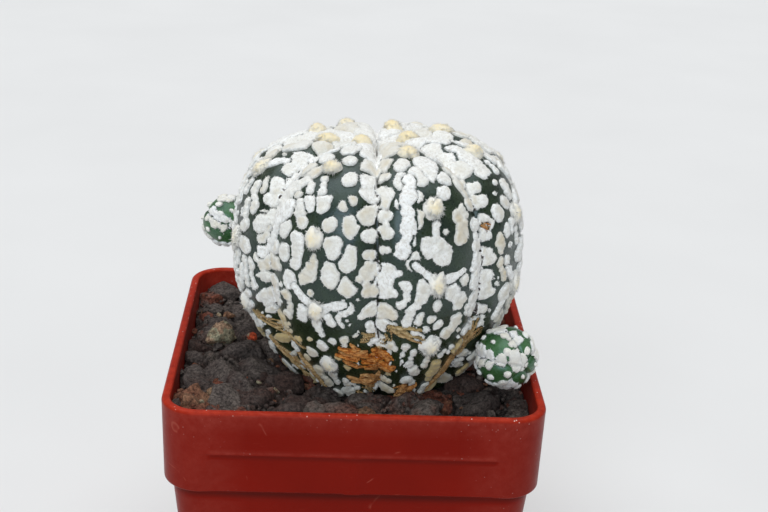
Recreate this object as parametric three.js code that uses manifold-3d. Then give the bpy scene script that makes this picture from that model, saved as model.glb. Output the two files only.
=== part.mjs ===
// A super kabuto star cactus in a small square plastic pot: the pot, its gritty soil, the
// ribbed head with raised felt flecks and woolly areoles, and two offsets on its flanks.
// Millimetres, +Z up. The origin is the centre of the pot's base, X runs to the right and
// Y to the back. Angles round a head start at the front and grow to the right.

import * as THREE from 'three';
import { ConvexHull } from 'three/addons/math/ConvexHull.js';
import { mergeVertices } from 'three/addons/utils/BufferGeometryUtils.js';
import Module from 'manifold-3d';

const wasm = await Module();
wasm.setup();

// Pot
const POT_HEIGHT = 50;
const RIM_WIDTH = 55;
const BASE_WIDTH = 45;
const WALL = 1.3;
const FLOOR = 1.6;
const RIM_CORNER = 5.5;
const BASE_CORNER = 4;
const BASE_EDGE = 0.6;
const COLLAR_HEIGHT = 12.9;
const COLLAR_DRAFT = 0.25;
const COLLAR_STEP = 1.15;
const UNDERCUT = 1.3;
const COLLAR_EDGE = 0.2;
const SHOULDER = 1;
const LIP_DROP = 0.5;
const LIP_SHARES = [0.35, 0.75];
const RECESS_WIDTH = 41;
const RECESS_TOP = 6.7;
const RECESS_DEPTH = 0.25;
const RECESS_REACH = 2;
const TAB_WIDTH = 2.6;
const DRAIN_RADIUS = 1.9;
const DRAIN_OFFSET = 10;
const CORNER_STEPS = 5;

// Soil
const FIT_GAP = 0.3;
const SOIL_BED = 5.2;
const SOIL_TOP = 3.1;
const SOIL_FRONT_LEFT_RISE = 2.0;
const SOIL_RISE_WIDTH = 20;
const SOIL_RISE_DEPTH = 16;
const SOIL_RIGHT_DROP = 1.2;
const SOIL_DROP_SPAN = [6, 24];
const GRAIN_SPACING = 4.4;
const GRAIN_RADIUS = [2.5, 3.7];
const GRAIN_SUNK = 0.5;
const GRAIN_FLATNESS = 0.8;
const GRAIN_TILT = 0.7;
const GRAIN_REACH = [0.78, 1.14];
const GRAIN_UNDERSIDE = 0.3;
const GRAIN_TOP = 2;
const GRAIN_MARGIN = 1.2;
const GRAIN_TRIES = 4000;
const GRAIN_SEED = 41;
const PLANT_CLEARANCE = 15;

// Main head
const HEAD = {
  name: 'cactus_head',
  colour: 0x5d6b58,
  centre: new THREE.Vector3(3.2, 0, POT_HEIGHT + 14.5),
  axis: new THREE.Vector3(-0.049, 0.087, 1),
  radius: 22,
  crownHeight: 18,
  crownPower: 3.3,
  footHeight: 26.4,
  footPower: 1.62,
  dip: 1.4,
  dipWidth: 17,
  furrows: [-1.5, 43.5, 88.5, 133.5, 178.5, 223.5, 269, 311],
  furrowDepth: 0.075,
  crownFurrowDepth: 0.1,
  crownFurrowWidth: 40,
  areoleStarts: [34, 16, 31, 20, 36, 29, 24, 17],
  areoleStep: 27,
  areoleEnd: 130,
  areoleRise: 1.5,
  areoleGap: 2.3,
  armStart: 40,
  armAcross: 2.1,
  armUp: 1.9,
  armGap: 1.9,
  barDrop: 3.3,
  pairOffset: 1.35,
  pairStep: 2.9,
  pairJitter: 0.35,
  pairStart: 22,
  fleckSpacing: 2.38,
  fleckRise: 0.45,
  fleckInset: 0.4,
  bareShare: 0.07,
  soilAngle: 148,
  rootSpacing: 5,
  tries: 26000,
  seed: 7,
};
const ROOT_DEPTH = 7;
const MOUND_SHARE = 0.75;
const PAIR_CLOSENESS = 0.85;
const RISE_SPREAD = 0.3;
const LEAST_TOP = 0.35;
const HOLE_SIDES = 28;
const HOLE_ANGLES = [176, 169, 164, 162, 160, 158, 156, 154, 152, 150, 148, 145, 141, 136, 130, 122, 112];

// Offsets, small heads that grow from the flanks of the main one
const OFFSET = {
  colour: 0x6f8465,
  dip: 0.3,
  dipWidth: 17,
  crownPower: 2.3,
  footPower: 2,
  furrows: [0, 72, 144, 216, 288],
  furrowDepth: 0.12,
  crownFurrowDepth: 0.06,
  crownFurrowWidth: 40,
  areoleStarts: [25, 38, 30, 42, 34],
  areoleStep: 34,
  areoleEnd: 120,
  areoleRise: 0.75,
  areoleGap: 1.3,
  armStart: 180,
  pairOffset: 0.7,
  pairStep: 1.5,
  pairJitter: 0.15,
  pairStart: 30,
  fleckSpacing: 1.55,
  fleckRise: 0.25,
  fleckInset: 0.2,
  bareShare: 0.2,
  soilAngle: 150,
  rootSpacing: 2.4,
  tries: 4000,
};
const RIGHT_OFFSET = {
  ...OFFSET,
  name: 'offset_right',
  centre: new THREE.Vector3(22.3, -13.9, POT_HEIGHT + 3.4),
  axis: new THREE.Vector3(0.48, -0.87, 0.1),
  radius: 4.5,
  crownHeight: 4.2,
  footHeight: 4.6,
  seed: 19,
};
const LEFT_OFFSET = {
  ...OFFSET,
  name: 'offset_left',
  centre: new THREE.Vector3(-20.6, 10, POT_HEIGHT + 14.8),
  axis: new THREE.Vector3(-0.85, 0.25, 0.45),
  radius: 3.9,
  crownHeight: 3.7,
  footHeight: 4,
  seed: 23,
};

const COLOURS = { pot: 0x8a2418, soil: 0x37322f };

// Small helpers

function seededRandom(seed) {
  let state = seed;
  return () => {
    state = (state + 0x6d2b79f5) | 0;
    let t = Math.imul(state ^ (state >>> 15), 1 | state);
    t = (t + Math.imul(t ^ (t >>> 7), 61 | t)) ^ t;
    return ((t ^ (t >>> 14)) >>> 0) / 4294967296;
  };
}

function bell(value, width) {
  return Math.exp(-((value / width) ** 2));
}

function geometryOf(points, triangles) {
  const geometry = new THREE.BufferGeometry();
  const values = points.flatMap((p) => [p.x, p.y, p.z]);
  geometry.setAttribute('position', new THREE.Float32BufferAttribute(values, 3));
  geometry.setIndex(triangles.flat());
  return geometry;
}

function solidOf(geometry) {
  const plain = geometry.clone();
  plain.deleteAttribute('normal');
  plain.deleteAttribute('uv');
  const merged = mergeVertices(plain, 1e-4);
  return new wasm.Manifold(new wasm.Mesh({
    numProp: 3,
    vertProperties: new Float32Array(merged.attributes.position.array),
    triVerts: new Uint32Array(merged.index.array),
  }));
}

function meshOf(name, colour, roughness, geometry) {
  geometry.computeVertexNormals();
  const material = new THREE.MeshStandardMaterial({ color: colour, roughness, metalness: 0 });
  const mesh = new THREE.Mesh(geometry, material);
  mesh.name = name;
  return mesh;
}

function geometryOfSolid(solid) {
  const mesh = solid.getMesh();
  const geometry = new THREE.BufferGeometry();
  geometry.setAttribute('position', new THREE.BufferAttribute(mesh.vertProperties, 3));
  geometry.setIndex(new THREE.BufferAttribute(mesh.triVerts, 1));
  return geometry;
}

// A closed solid through rings of equal length, with its first and last ring capped flat
function loft(rings) {
  const count = rings[0].length;
  const points = rings.flat();
  const triangles = [];
  for (let ring = 0; ring + 1 < rings.length; ring += 1) {
    for (let i = 0; i < count; i += 1) {
      const a = ring * count + i;
      const b = ring * count + ((i + 1) % count);
      triangles.push([a, b, b + count], [a, b + count, a + count]);
    }
  }
  const last = (rings.length - 1) * count;
  for (let i = 1; i + 1 < count; i += 1) {
    triangles.push([0, i + 1, i], [last, last + i, last + i + 1]);
  }
  return geometryOf(points, triangles);
}

// A level square with rounded corners, counter-clockwise from above
function squareRing(halfWidth, corner, z) {
  const ring = [];
  const inner = halfWidth - corner;
  for (let side = 0; side < 4; side += 1) {
    const middle = new THREE.Vector2(inner, inner);
    middle.rotateAround(new THREE.Vector2(), side * Math.PI / 2);
    for (let step = 0; step <= CORNER_STEPS; step += 1) {
      const angle = (side + step / CORNER_STEPS) * Math.PI / 2;
      ring.push(new THREE.Vector3(
        middle.x + corner * Math.cos(angle),
        middle.y + corner * Math.sin(angle),
        z,
      ));
    }
  }
  return ring;
}

// Pot

const RIM_HALF = RIM_WIDTH / 2;
const BASE_HALF = BASE_WIDTH / 2;
const COLLAR_FOOT = POT_HEIGHT - COLLAR_HEIGHT;
const COLLAR_FOOT_HALF = RIM_HALF - COLLAR_DRAFT;
const NECK_HALF = COLLAR_FOOT_HALF - COLLAR_STEP;
const WALL_SLOPE = (NECK_HALF - BASE_HALF) / COLLAR_FOOT;
const NECK_CORNER = RIM_CORNER - 1;
const SHOULDER_FOOT = COLLAR_FOOT + SHOULDER;
const SHOULDER_TOP = SHOULDER_FOOT + COLLAR_STEP;

function potProfile() {
  const [outer, inner] = LIP_SHARES.map((share) => WALL * share);
  return [
    [BASE_HALF - BASE_EDGE, BASE_CORNER - BASE_EDGE, 0],
    [BASE_HALF, BASE_CORNER, BASE_EDGE],
    [NECK_HALF, NECK_CORNER, COLLAR_FOOT],
    [COLLAR_FOOT_HALF - COLLAR_EDGE, RIM_CORNER, COLLAR_FOOT + COLLAR_EDGE],
    [COLLAR_FOOT_HALF, RIM_CORNER, COLLAR_FOOT + UNDERCUT],
    [RIM_HALF, RIM_CORNER, POT_HEIGHT - LIP_DROP],
    [RIM_HALF - outer, RIM_CORNER - outer, POT_HEIGHT],
    [RIM_HALF - inner, RIM_CORNER - inner, POT_HEIGHT],
    [RIM_HALF - WALL, RIM_CORNER - WALL, POT_HEIGHT - LIP_DROP],
    [COLLAR_FOOT_HALF - WALL, RIM_CORNER - WALL, SHOULDER_TOP],
    [NECK_HALF - WALL, NECK_CORNER - WALL, SHOULDER_FOOT],
    [BASE_HALF + FLOOR * WALL_SLOPE - WALL, BASE_CORNER - WALL, FLOOR],
  ];
}

// Cuts one half of the shallow recess in the lower part of a collar face, beside its tab
function collarRecess(side, hand) {
  const width = (RECESS_WIDTH - TAB_WIDTH) / 2;
  const height = COLLAR_HEIGHT - RECESS_TOP + UNDERCUT;
  const face = RIM_HALF - COLLAR_DRAFT * RECESS_TOP / COLLAR_HEIGHT;
  const cutter = new THREE.BoxGeometry(width, RECESS_REACH, height);
  cutter.translate(hand * (TAB_WIDTH + width) / 2, -RECESS_REACH / 2, -height / 2);
  cutter.rotateX(Math.atan2(COLLAR_DRAFT, COLLAR_HEIGHT));
  cutter.translate(0, RECESS_DEPTH - face, POT_HEIGHT - RECESS_TOP);
  cutter.rotateZ(side * Math.PI / 2);
  return cutter;
}

function potMesh() {
  const rings = potProfile().map(([half, corner, z]) => squareRing(half, corner, z));
  let solid = solidOf(loft(rings));
  for (let side = 0; side < 4; side += 1) {
    for (const hand of [-1, 1]) {
      solid = solid.subtract(solidOf(collarRecess(side, hand)));
    }
    const hole = new THREE.CylinderGeometry(DRAIN_RADIUS, DRAIN_RADIUS, 3 * FLOOR, 16);
    hole.rotateX(Math.PI / 2);
    hole.translate(DRAIN_OFFSET, DRAIN_OFFSET, 0);
    hole.rotateZ(side * Math.PI / 2);
    solid = solid.subtract(solidOf(hole));
  }
  return meshOf('pot', COLOURS.pot, 0.35, geometryOfSolid(solid));
}

// Heads

// The unit vector at an angle down from the crown and an angle round from the front
function direction(down, round) {
  return new THREE.Vector3(
    Math.sin(down) * Math.sin(round),
    -Math.sin(down) * Math.cos(round),
    Math.cos(down),
  );
}

function anglesOf(dir) {
  return [Math.acos(THREE.MathUtils.clamp(dir.z, -1, 1)), Math.atan2(dir.x, -dir.y)];
}

function furrowAngle(head, index) {
  const count = head.furrows.length;
  const turns = Math.floor(index / count);
  return THREE.MathUtils.degToRad(head.furrows[index - turns * count] + 360 * turns);
}

// 0 in a furrow and 1 on the crest of the rib between two furrows
function crestness(head, round) {
  const turn = 2 * Math.PI;
  const first = furrowAngle(head, 0);
  const angle = first + THREE.MathUtils.euclideanModulo(round - first, turn);
  let rib = 0;
  while (furrowAngle(head, rib + 1) < angle) {
    rib += 1;
  }
  const low = furrowAngle(head, rib);
  const across = (angle - low) / (furrowAngle(head, rib + 1) - low);
  return Math.sin(Math.PI * THREE.MathUtils.clamp(across, 0, 1));
}

// The ribless profile: a squarish shoulder over a foot that draws in towards the root
function profileRadius(head, down) {
  const up = down < Math.PI / 2;
  const height = up ? head.crownHeight : head.footHeight;
  const power = up ? head.crownPower : head.footPower;
  const side = Math.abs(Math.sin(down) / head.radius) ** power;
  const rise = Math.abs(Math.cos(down) / height) ** power;
  return (side + rise) ** (-1 / power);
}

function skinRadius(head, dir) {
  const [down, round] = anglesOf(dir);
  const crownWidth = THREE.MathUtils.degToRad(head.crownFurrowWidth);
  const depth = head.furrowDepth + head.crownFurrowDepth * bell(down, crownWidth);
  const ribbed = profileRadius(head, down) * (1 - depth * (1 - crestness(head, round)) ** 2);
  return ribbed - head.dip * bell(down, THREE.MathUtils.degToRad(head.dipWidth));
}

function skinPoint(head, dir) {
  return dir.clone().multiplyScalar(skinRadius(head, dir));
}

function headTurn(head) {
  const up = new THREE.Vector3(0, 0, 1);
  return new THREE.Quaternion().setFromUnitVectors(up, head.axis.clone().normalize());
}

// The direction of a place so many millimetres across and up the skin from two angles
function beside(head, down, round, across, up) {
  const reach = profileRadius(head, down);
  return direction(down - up / reach, round + across / (reach * Math.sin(down)));
}

// Sows the seeds that flecks and areoles grow round: areoles down each crest, each with two
// arms above it and a bar below, pairs of flecks along each furrow, then the rest at
// random, none closer than the spacing
function sow(head) {
  const random = seededRandom(head.seed);
  const seeds = [];
  const add = (dir, kind, spacing) => {
    const point = skinPoint(head, dir);
    const clear = seeds.every((other) => other.point.distanceTo(point) >= spacing);
    if (clear) {
      const rise = head.fleckRise * (1 + RISE_SPREAD * (random() - 0.5));
      seeds.push({ dir, point, kind, rise });
    }
  };
  add(direction(0, 0), 'areole', 0);
  for (let rib = 0; rib < head.furrows.length; rib += 1) {
    const crest = (furrowAngle(head, rib) + furrowAngle(head, rib + 1)) / 2;
    for (let angle = head.areoleStarts[rib]; angle < head.areoleEnd; angle += head.areoleStep) {
      const down = THREE.MathUtils.degToRad(angle);
      add(direction(down, crest), 'areole', head.areoleGap);
      if (angle > head.armStart) {
        add(beside(head, down, crest, -head.armAcross, head.armUp), 'arm', head.armGap);
        add(beside(head, down, crest, head.armAcross, head.armUp), 'arm', head.armGap);
        add(beside(head, down, crest, 0, -head.barDrop), 'bar', head.armGap);
      }
    }
  }
  for (let furrow = 0; furrow < head.furrows.length; furrow += 1) {
    let down = THREE.MathUtils.degToRad(head.pairStart);
    while (THREE.MathUtils.radToDeg(down) < head.soilAngle) {
      for (const side of [-1, 1]) {
        const jitter = head.pairJitter * (random() * 2 - 1);
        const across = side * head.pairOffset;
        const place = beside(head, down, furrowAngle(head, furrow), across, jitter);
        add(place, 'pair', head.fleckSpacing * PAIR_CLOSENESS);
      }
      down += head.pairStep / profileRadius(head, down);
    }
  }
  for (let attempt = 0; attempt < head.tries; attempt += 1) {
    const down = Math.acos(1 - 2 * random());
    const round = 2 * Math.PI * random();
    const buried = THREE.MathUtils.radToDeg(down) > head.soilAngle;
    const kind = !buried && random() > head.bareShare ? 'fleck' : 'bare';
    add(direction(down, round), kind, buried ? head.rootSpacing : head.fleckSpacing);
  }
  return seeds;
}

// Shares the skin out among the seeds: each gets the ring of corners round its own cell
function cellsOf(seeds) {
  const hull = new ConvexHull().setFromPoints(seeds.map((seed) => seed.dir));
  const order = new Map(seeds.map((seed, index) => [seed.dir, index]));
  const corners = [];
  const cells = seeds.map(() => new Set());
  const sameCorner = 0.006;
  const aside = new THREE.Vector3(0.31, 0.53, 0.79);
  for (const face of hull.faces) {
    let corner = corners.findIndex((other) => other.distanceTo(face.normal) < sameCorner);
    if (corner < 0) {
      corner = corners.length;
      corners.push(face.normal.clone());
    }
    let edge = face.edge;
    do {
      cells[order.get(edge.head().point)].add(corner);
      edge = edge.next;
    } while (edge !== face.edge);
  }
  const rings = cells.map((cell, index) => {
    const up = seeds[index].dir;
    const east = aside.clone().cross(up).normalize();
    const north = up.clone().cross(east);
    const angle = (corner) => Math.atan2(corners[corner].dot(north), corners[corner].dot(east));
    return [...cell].sort((a, b) => angle(a) - angle(b));
  });
  return { corners, rings };
}

// Skin with one raised fleck, woolly mound or bare patch in each cell. A seat is left bare
// where an offset grows from it, and a cut keeps the head above its own flat foot.
function headMesh(head, cuts, seats) {
  const seeds = sow(head);
  const { corners, rings } = cellsOf(seeds);
  const points = [];
  const triangles = [];
  const place = (dir, rise) => {
    let reach = skinRadius(head, dir) + rise;
    for (const cut of cuts) {
      const facing = dir.dot(cut.normal);
      if (facing > 0) {
        reach = Math.min(reach, cut.distance / facing);
      }
    }
    return points.push(dir.clone().multiplyScalar(reach)) - 1;
  };
  const skin = corners.map((corner) => place(corner, 0));
  const fan = (ring) => {
    for (let i = 1; i + 1 < ring.length; i += 1) {
      triangles.push([ring[0], ring[i], ring[i + 1]]);
    }
  };
  const collar = (low, high) => {
    for (let i = 0; i < low.length; i += 1) {
      const next = (i + 1) % low.length;
      triangles.push([low[i], low[next], high[next]], [low[i], high[next], high[i]]);
    }
  };
  seeds.forEach((seed, index) => {
    const low = rings[index].map((corner) => skin[corner]);
    const seated = seats.some((seat) => seat.point.distanceTo(seed.point) < seat.radius);
    if (seed.kind === 'bare' || seated) {
      fan(low);
      return;
    }
    const mound = seed.kind === 'areole';
    const high = rings[index].map((corner) => {
      const span = corners[corner].clone().sub(seed.dir);
      const width = span.length() * seed.point.length();
      const top = Math.max(LEAST_TOP, 1 - head.fleckInset / width) * (mound ? MOUND_SHARE : 1);
      return place(seed.dir.clone().addScaledVector(span, top).normalize(), seed.rise);
    });
    collar(low, high);
    if (mound) {
      const tip = place(seed.dir, head.areoleRise);
      high.forEach((corner, i) => triangles.push([corner, high[(i + 1) % high.length], tip]));
    } else {
      fan(high);
    }
  });
  const mesh = meshOf(head.name, head.colour, 0.75, geometryOf(points, triangles));
  mesh.position.copy(head.centre);
  mesh.quaternion.copy(headTurn(head));
  mesh.updateMatrix();
  return mesh;
}

// A level cut through the main head at the depth of its root
function rootCut(head, clearance) {
  const normal = new THREE.Vector3(0, 0, -1).applyQuaternion(headTurn(head).invert());
  return { normal, distance: head.centre.z - (POT_HEIGHT - ROOT_DEPTH) + clearance };
}

// Where an offset meets the main head's skin, in the head's own frame
function seatOn(offset) {
  const span = offset.centre.clone().sub(HEAD.centre);
  const dir = span.clone().applyQuaternion(headTurn(HEAD).invert()).normalize();
  const point = skinPoint(HEAD, dir);
  return { point, radius: offset.radius, distance: span.length() - point.length() - FIT_GAP };
}

// The offset's own flat seat, turned to the centre of the head that it grows from
function seatCut(offset) {
  const inwards = HEAD.centre.clone().sub(offset.centre).normalize();
  inwards.applyQuaternion(headTurn(offset).invert());
  return { normal: inwards, distance: seatOn(offset).distance };
}

// Soil

// How far below the rim the soil lies: higher at the front left, lower at the right
function soilDepth(x, y) {
  const frontLeft = bell(x + RIM_HALF, SOIL_RISE_WIDTH) * bell(y + RIM_HALF, SOIL_RISE_DEPTH);
  const right = THREE.MathUtils.smoothstep(x, ...SOIL_DROP_SPAN);
  return SOIL_TOP - SOIL_FRONT_LEFT_RISE * frontLeft + SOIL_RIGHT_DROP * right;
}

// A blind hole that the root and foot of the head stand in
function plantHole() {
  const rings = [];
  const cut = rootCut(HEAD, FIT_GAP);
  for (const angle of HOLE_ANGLES) {
    const down = THREE.MathUtils.degToRad(angle);
    const ring = [];
    for (let side = 0; side < HOLE_SIDES; side += 1) {
      const dir = direction(down, 2 * Math.PI * side / HOLE_SIDES);
      const reach = profileRadius(HEAD, down) + HEAD.fleckRise + FIT_GAP;
      const facing = dir.dot(cut.normal);
      ring.push(dir.multiplyScalar(Math.min(reach, cut.distance / Math.max(facing, 1e-6))));
    }
    rings.push(ring);
  }
  const hole = loft(rings);
  hole.applyQuaternion(headTurn(HEAD));
  hole.translate(HEAD.centre.x, HEAD.centre.y, HEAD.centre.z);
  return hole;
}

// One angular grain, whose underside reaches down into the bed
function grain(random, x, y) {
  const plain = new THREE.IcosahedronGeometry(1, 0);
  plain.deleteAttribute('normal');
  plain.deleteAttribute('uv');
  const geometry = mergeVertices(plain, 1e-3);
  const draw = ([least, most]) => least + (most - least) * random();
  const size = draw(GRAIN_RADIUS);
  const sunk = soilDepth(x, y) + size * GRAIN_SUNK;
  const root = Math.max(0, SOIL_BED - sunk - size * GRAIN_UNDERSIDE);
  const position = geometry.attributes.position;
  const corner = new THREE.Vector3();
  for (let i = 0; i < position.count; i += 1) {
    corner.fromBufferAttribute(position, i).multiplyScalar(size * draw(GRAIN_REACH));
    const lower = corner.z < 0 ? root : 0;
    position.setXYZ(i, corner.x, corner.y, corner.z * GRAIN_FLATNESS - lower);
  }
  geometry.rotateX(GRAIN_TILT * (random() - 0.5));
  geometry.rotateZ(2 * Math.PI * random());
  geometry.translate(x, y, POT_HEIGHT - sunk);
  return geometry;
}

// Scattered places inside the collar, clear of the plant and of each other
function grainPlaces(random) {
  const half = RIM_HALF - WALL - GRAIN_MARGIN;
  const places = [];
  for (let attempt = 0; attempt < GRAIN_TRIES; attempt += 1) {
    const place = new THREE.Vector2(half * (2 * random() - 1), half * (2 * random() - 1));
    const fromPlant = place.distanceTo(new THREE.Vector2(HEAD.centre.x, HEAD.centre.y));
    const clear = places.every((other) => other.distanceTo(place) >= GRAIN_SPACING);
    if (clear && fromPlant > PLANT_CLEARANCE) {
      places.push(place);
    }
  }
  return places;
}

function soilMesh() {
  const random = seededRandom(GRAIN_SEED);
  const gap = WALL + FIT_GAP;
  const floorZ = FLOOR + FIT_GAP;
  const floorHalf = BASE_HALF + floorZ * WALL_SLOPE - gap;
  const bed = POT_HEIGHT - SOIL_BED;
  const inside = (top) => loft([
    squareRing(floorHalf, BASE_CORNER - gap, floorZ),
    squareRing(NECK_HALF - gap, NECK_CORNER - gap, SHOULDER_FOOT + FIT_GAP / 2),
    squareRing(COLLAR_FOOT_HALF - gap, RIM_CORNER - gap, SHOULDER_TOP + FIT_GAP / 2),
    squareRing(COLLAR_FOOT_HALF - gap, RIM_CORNER - gap, top),
  ]);
  let grains = solidOf(inside(bed));
  for (const place of grainPlaces(random)) {
    grains = grains.add(solidOf(grain(random, place.x, place.y)));
  }
  const clipped = grains.intersect(solidOf(inside(POT_HEIGHT + GRAIN_TOP)));
  const planted = clipped.subtract(solidOf(plantHole()));
  return meshOf('soil', COLOURS.soil, 0.95, geometryOfSolid(planted));
}

const plant = new THREE.Group();
plant.add(potMesh());
plant.add(soilMesh());
plant.add(headMesh(HEAD, [rootCut(HEAD, 0)], [seatOn(RIGHT_OFFSET), seatOn(LEFT_OFFSET)]));
plant.add(headMesh(RIGHT_OFFSET, [seatCut(RIGHT_OFFSET)], []));
plant.add(headMesh(LEFT_OFFSET, [seatCut(LEFT_OFFSET)], []));

export default plant;
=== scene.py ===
"""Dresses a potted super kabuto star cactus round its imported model.

Lengths are millimetres until a mesh is made, which turns them into metres. On a head, the
angle down starts at its crown, and the angle round it starts at the front and grows to
the right. Each head works in its own frame, with its centre at the origin.
"""
import math
from dataclasses import dataclass
from types import SimpleNamespace

import bmesh
import bpy
import numpy as np
from mathutils import Matrix, Vector
from mathutils.geometry import delaunay_2d_cdt


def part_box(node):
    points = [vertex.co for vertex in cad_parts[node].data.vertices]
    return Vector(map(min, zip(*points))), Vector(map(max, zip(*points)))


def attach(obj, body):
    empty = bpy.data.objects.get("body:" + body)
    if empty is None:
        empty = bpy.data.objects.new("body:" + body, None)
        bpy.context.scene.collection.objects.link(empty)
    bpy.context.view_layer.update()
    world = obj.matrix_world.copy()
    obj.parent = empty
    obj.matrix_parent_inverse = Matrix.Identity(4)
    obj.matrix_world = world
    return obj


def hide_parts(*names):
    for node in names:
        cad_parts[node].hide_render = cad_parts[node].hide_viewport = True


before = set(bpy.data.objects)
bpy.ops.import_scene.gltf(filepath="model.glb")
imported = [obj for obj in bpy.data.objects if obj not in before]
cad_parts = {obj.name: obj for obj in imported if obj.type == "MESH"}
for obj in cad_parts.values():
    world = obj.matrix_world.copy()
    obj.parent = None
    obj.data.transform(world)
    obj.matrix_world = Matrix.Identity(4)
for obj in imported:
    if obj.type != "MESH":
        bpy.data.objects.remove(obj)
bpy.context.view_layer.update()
MM = 0.001
POT_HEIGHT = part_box("pot")[1].z / MM
RIM_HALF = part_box("pot")[1].x / MM

# Pot
WALL = 1.3
FLOOR = 1.6
BASE_HALF = 22.5
RIM_CORNER = 5.5
BASE_CORNER = 4
COLLAR_HEIGHT = 12.9
COLLAR_DRAFT = 0.25
COLLAR_STEP = 1.15
SHOULDER = 1
RECESS_WIDTH = 41
RECESS_TOP = 6.7
RECESS_DEPTH = 0.25
RECESS_ROUNDING = 0.45
RECESS_EASE = 0.3
RECESS_EDGE_STEPS = (-1.6, -1, -0.6, -0.35, -0.15, -0.03, 0.03, 0.15, 0.35, 0.6, 1, 1.6)
TAB_WIDTH = 2.6
# The band along the lip that is paler, partly rubbed and partly a painted highlight
WORN_AND_LIT_LIP = (POT_HEIGHT - 0.75, POT_HEIGHT - 0.1)
BASE_ROUNDING = 0.6
NECK_ROUNDING = 0.25
COLLAR_ROUNDING = 0.3
OUTER_LIP_ROUNDING = 0.55
INNER_LIP_ROUNDING = 0.45
DRAIN_RADIUS = 1.9
DRAIN_OFFSET = 10

# Soil
FIT_GAP = 0.3
SOIL_TOP = 3.1
SOIL_FRONT_LEFT_RISE = 2.0
SOIL_RISE_WIDTH = 20
SOIL_RISE_DEPTH = 16
SOIL_RIGHT_DROP = 1.2
SOIL_DROP_SPAN = (6, 24)
SOIL_BED_DEPTH = 1.6
GRAIN_SPACING = 4.4
GRAIN_RADIUS = (2.5, 3.7)
GRAIN_MARGIN = 1.2
GRAIN_TRIES = 4000
GRAIN_SEED = 41
PLANT_CLEARANCE = 15
LOOSE_GRAINS = 620
LOOSE_GRAIN_CLEARANCE = 12.5
CRUMBS_A_LUMP = 18
CRUMB_SIZE = (0.2, 0.55)
BED_COLUMNS = 120
SOIL_SEED = 5
PALE_TONE = 0.84
RED_TONE = 0.95
RED_CHIP = (-16.0, 2.0)
PALE_GRAIN = (-21.0, 1.3)

# The stage: the camera, fitted to the photo's view of the pot, and the floor round it
CAMERA_PLACE = (-4.9, -206.4, POT_HEIGHT + 93.3)
CAMERA_PITCH = 21.13
CAMERA_YAW = 2.52
CAMERA_ROLL = 2.66
CAMERA_LENS = 67.45
FLOOR_REACH = 2500

# The main head, and the offsets that grow from its flanks
HEAD = SimpleNamespace(
    name="cactus_head",
    centre=Vector((3.2, 0, POT_HEIGHT + 14.5)),
    axis=Vector((-0.049, 0.087, 1)),
    radius=22,
    crown_height=18,
    crown_power=3.3,
    foot_height=26.4,
    foot_power=1.62,
    dip=1.4,
    dip_width=17,
    furrows=[-1.5, 43.5, 88.5, 133.5, 178.5, 223.5, 269, 311],
    furrow_depth=0.075,
    crown_furrow_depth=0.1,
    crown_furrow_width=40,
    areole_starts=[34, 16, 31, 20, 36, 29, 24, 17],
    areole_step=27,
    areole_end=130,
    areole_gap=2.3,
    arm_start=40,
    arm_across=2.1,
    arm_up=1.9,
    arm_gap=1.9,
    bar_drop=3.3,
    pair_offset=1.35,
    pair_step=2.9,
    pair_jitter=0.35,
    pair_start=22,
    fleck_spacing=2.38,
    fleck_rise=0.45,
    bare_share=0.07,
    soil_angle=148,
    root_spacing=5,
    tries=26000,
    seed=7,
    felt_seed=11,
    slot="cactus_skin",
    skin_grid=(22, 110),
    hairs=380,
    sectors=3,
    scale=1.0,
    mesh_step=0.2,
    wool_radius=1.5,
    fleck_stretch=1,
    chained_share=0.4,
    chain_steepness=0.8,
    split_share=0.42,
    raggedness=1,
    soiled_share=1,
    wool_spread=(0.88, 1.08),
    dot_tries=700,
    crease=0.3,
    seats=[],
)
OFFSET = dict(
    dip=0.3,
    dip_width=17,
    crown_power=2.3,
    foot_power=2,
    furrows=[0, 72, 144, 216, 288],
    furrow_depth=0.12,
    crown_furrow_depth=0.06,
    crown_furrow_width=40,
    areole_starts=[25, 38, 30, 42, 34],
    areole_step=34,
    areole_end=120,
    areole_gap=1.3,
    arm_start=180,
    pair_offset=0.7,
    pair_step=1.5,
    pair_jitter=0.15,
    pair_start=30,
    fleck_spacing=1.55,
    fleck_rise=0.36,
    bare_share=0.2,
    soil_angle=150,
    root_spacing=2.4,
    tries=4000,
    slot="offset_skin",
    skin_grid=(18, 60),
    hairs=160,
    sectors=1,
    scars=[],
    strips=[],
    scale=0.55,
    mesh_step=0.14,
    wool_radius=0.5,
    fleck_stretch=2.6,
    chained_share=0.95,
    chain_steepness=0.35,
    split_share=0,
    raggedness=2.1,
    soiled_share=0.35,
    wool_spread=(0.45, 1.3),
    dot_tries=0,
    crease=0.12,
    seats=[],
)
RIGHT_OFFSET = SimpleNamespace(
    **OFFSET,
    name="offset_right",
    centre=Vector((22.3, -13.9, POT_HEIGHT + 3.4)),
    axis=Vector((0.48, -0.87, 0.1)),
    radius=4.5,
    crown_height=4.2,
    foot_height=4.6,
    seed=19,
    felt_seed=19,
)
LEFT_OFFSET = SimpleNamespace(
    **OFFSET,
    name="offset_left",
    centre=Vector((-20.6, 10, POT_HEIGHT + 14.8)),
    axis=Vector((-0.85, 0.25, 0.45)),
    radius=3.9,
    crown_height=3.7,
    foot_height=4,
    seed=23,
    felt_seed=23,
)
ROOT_DEPTH = 7
PAIR_CLOSENESS = 0.85
RISE_SPREAD = 0.3
SEAT_REACH = 0.75

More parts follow.
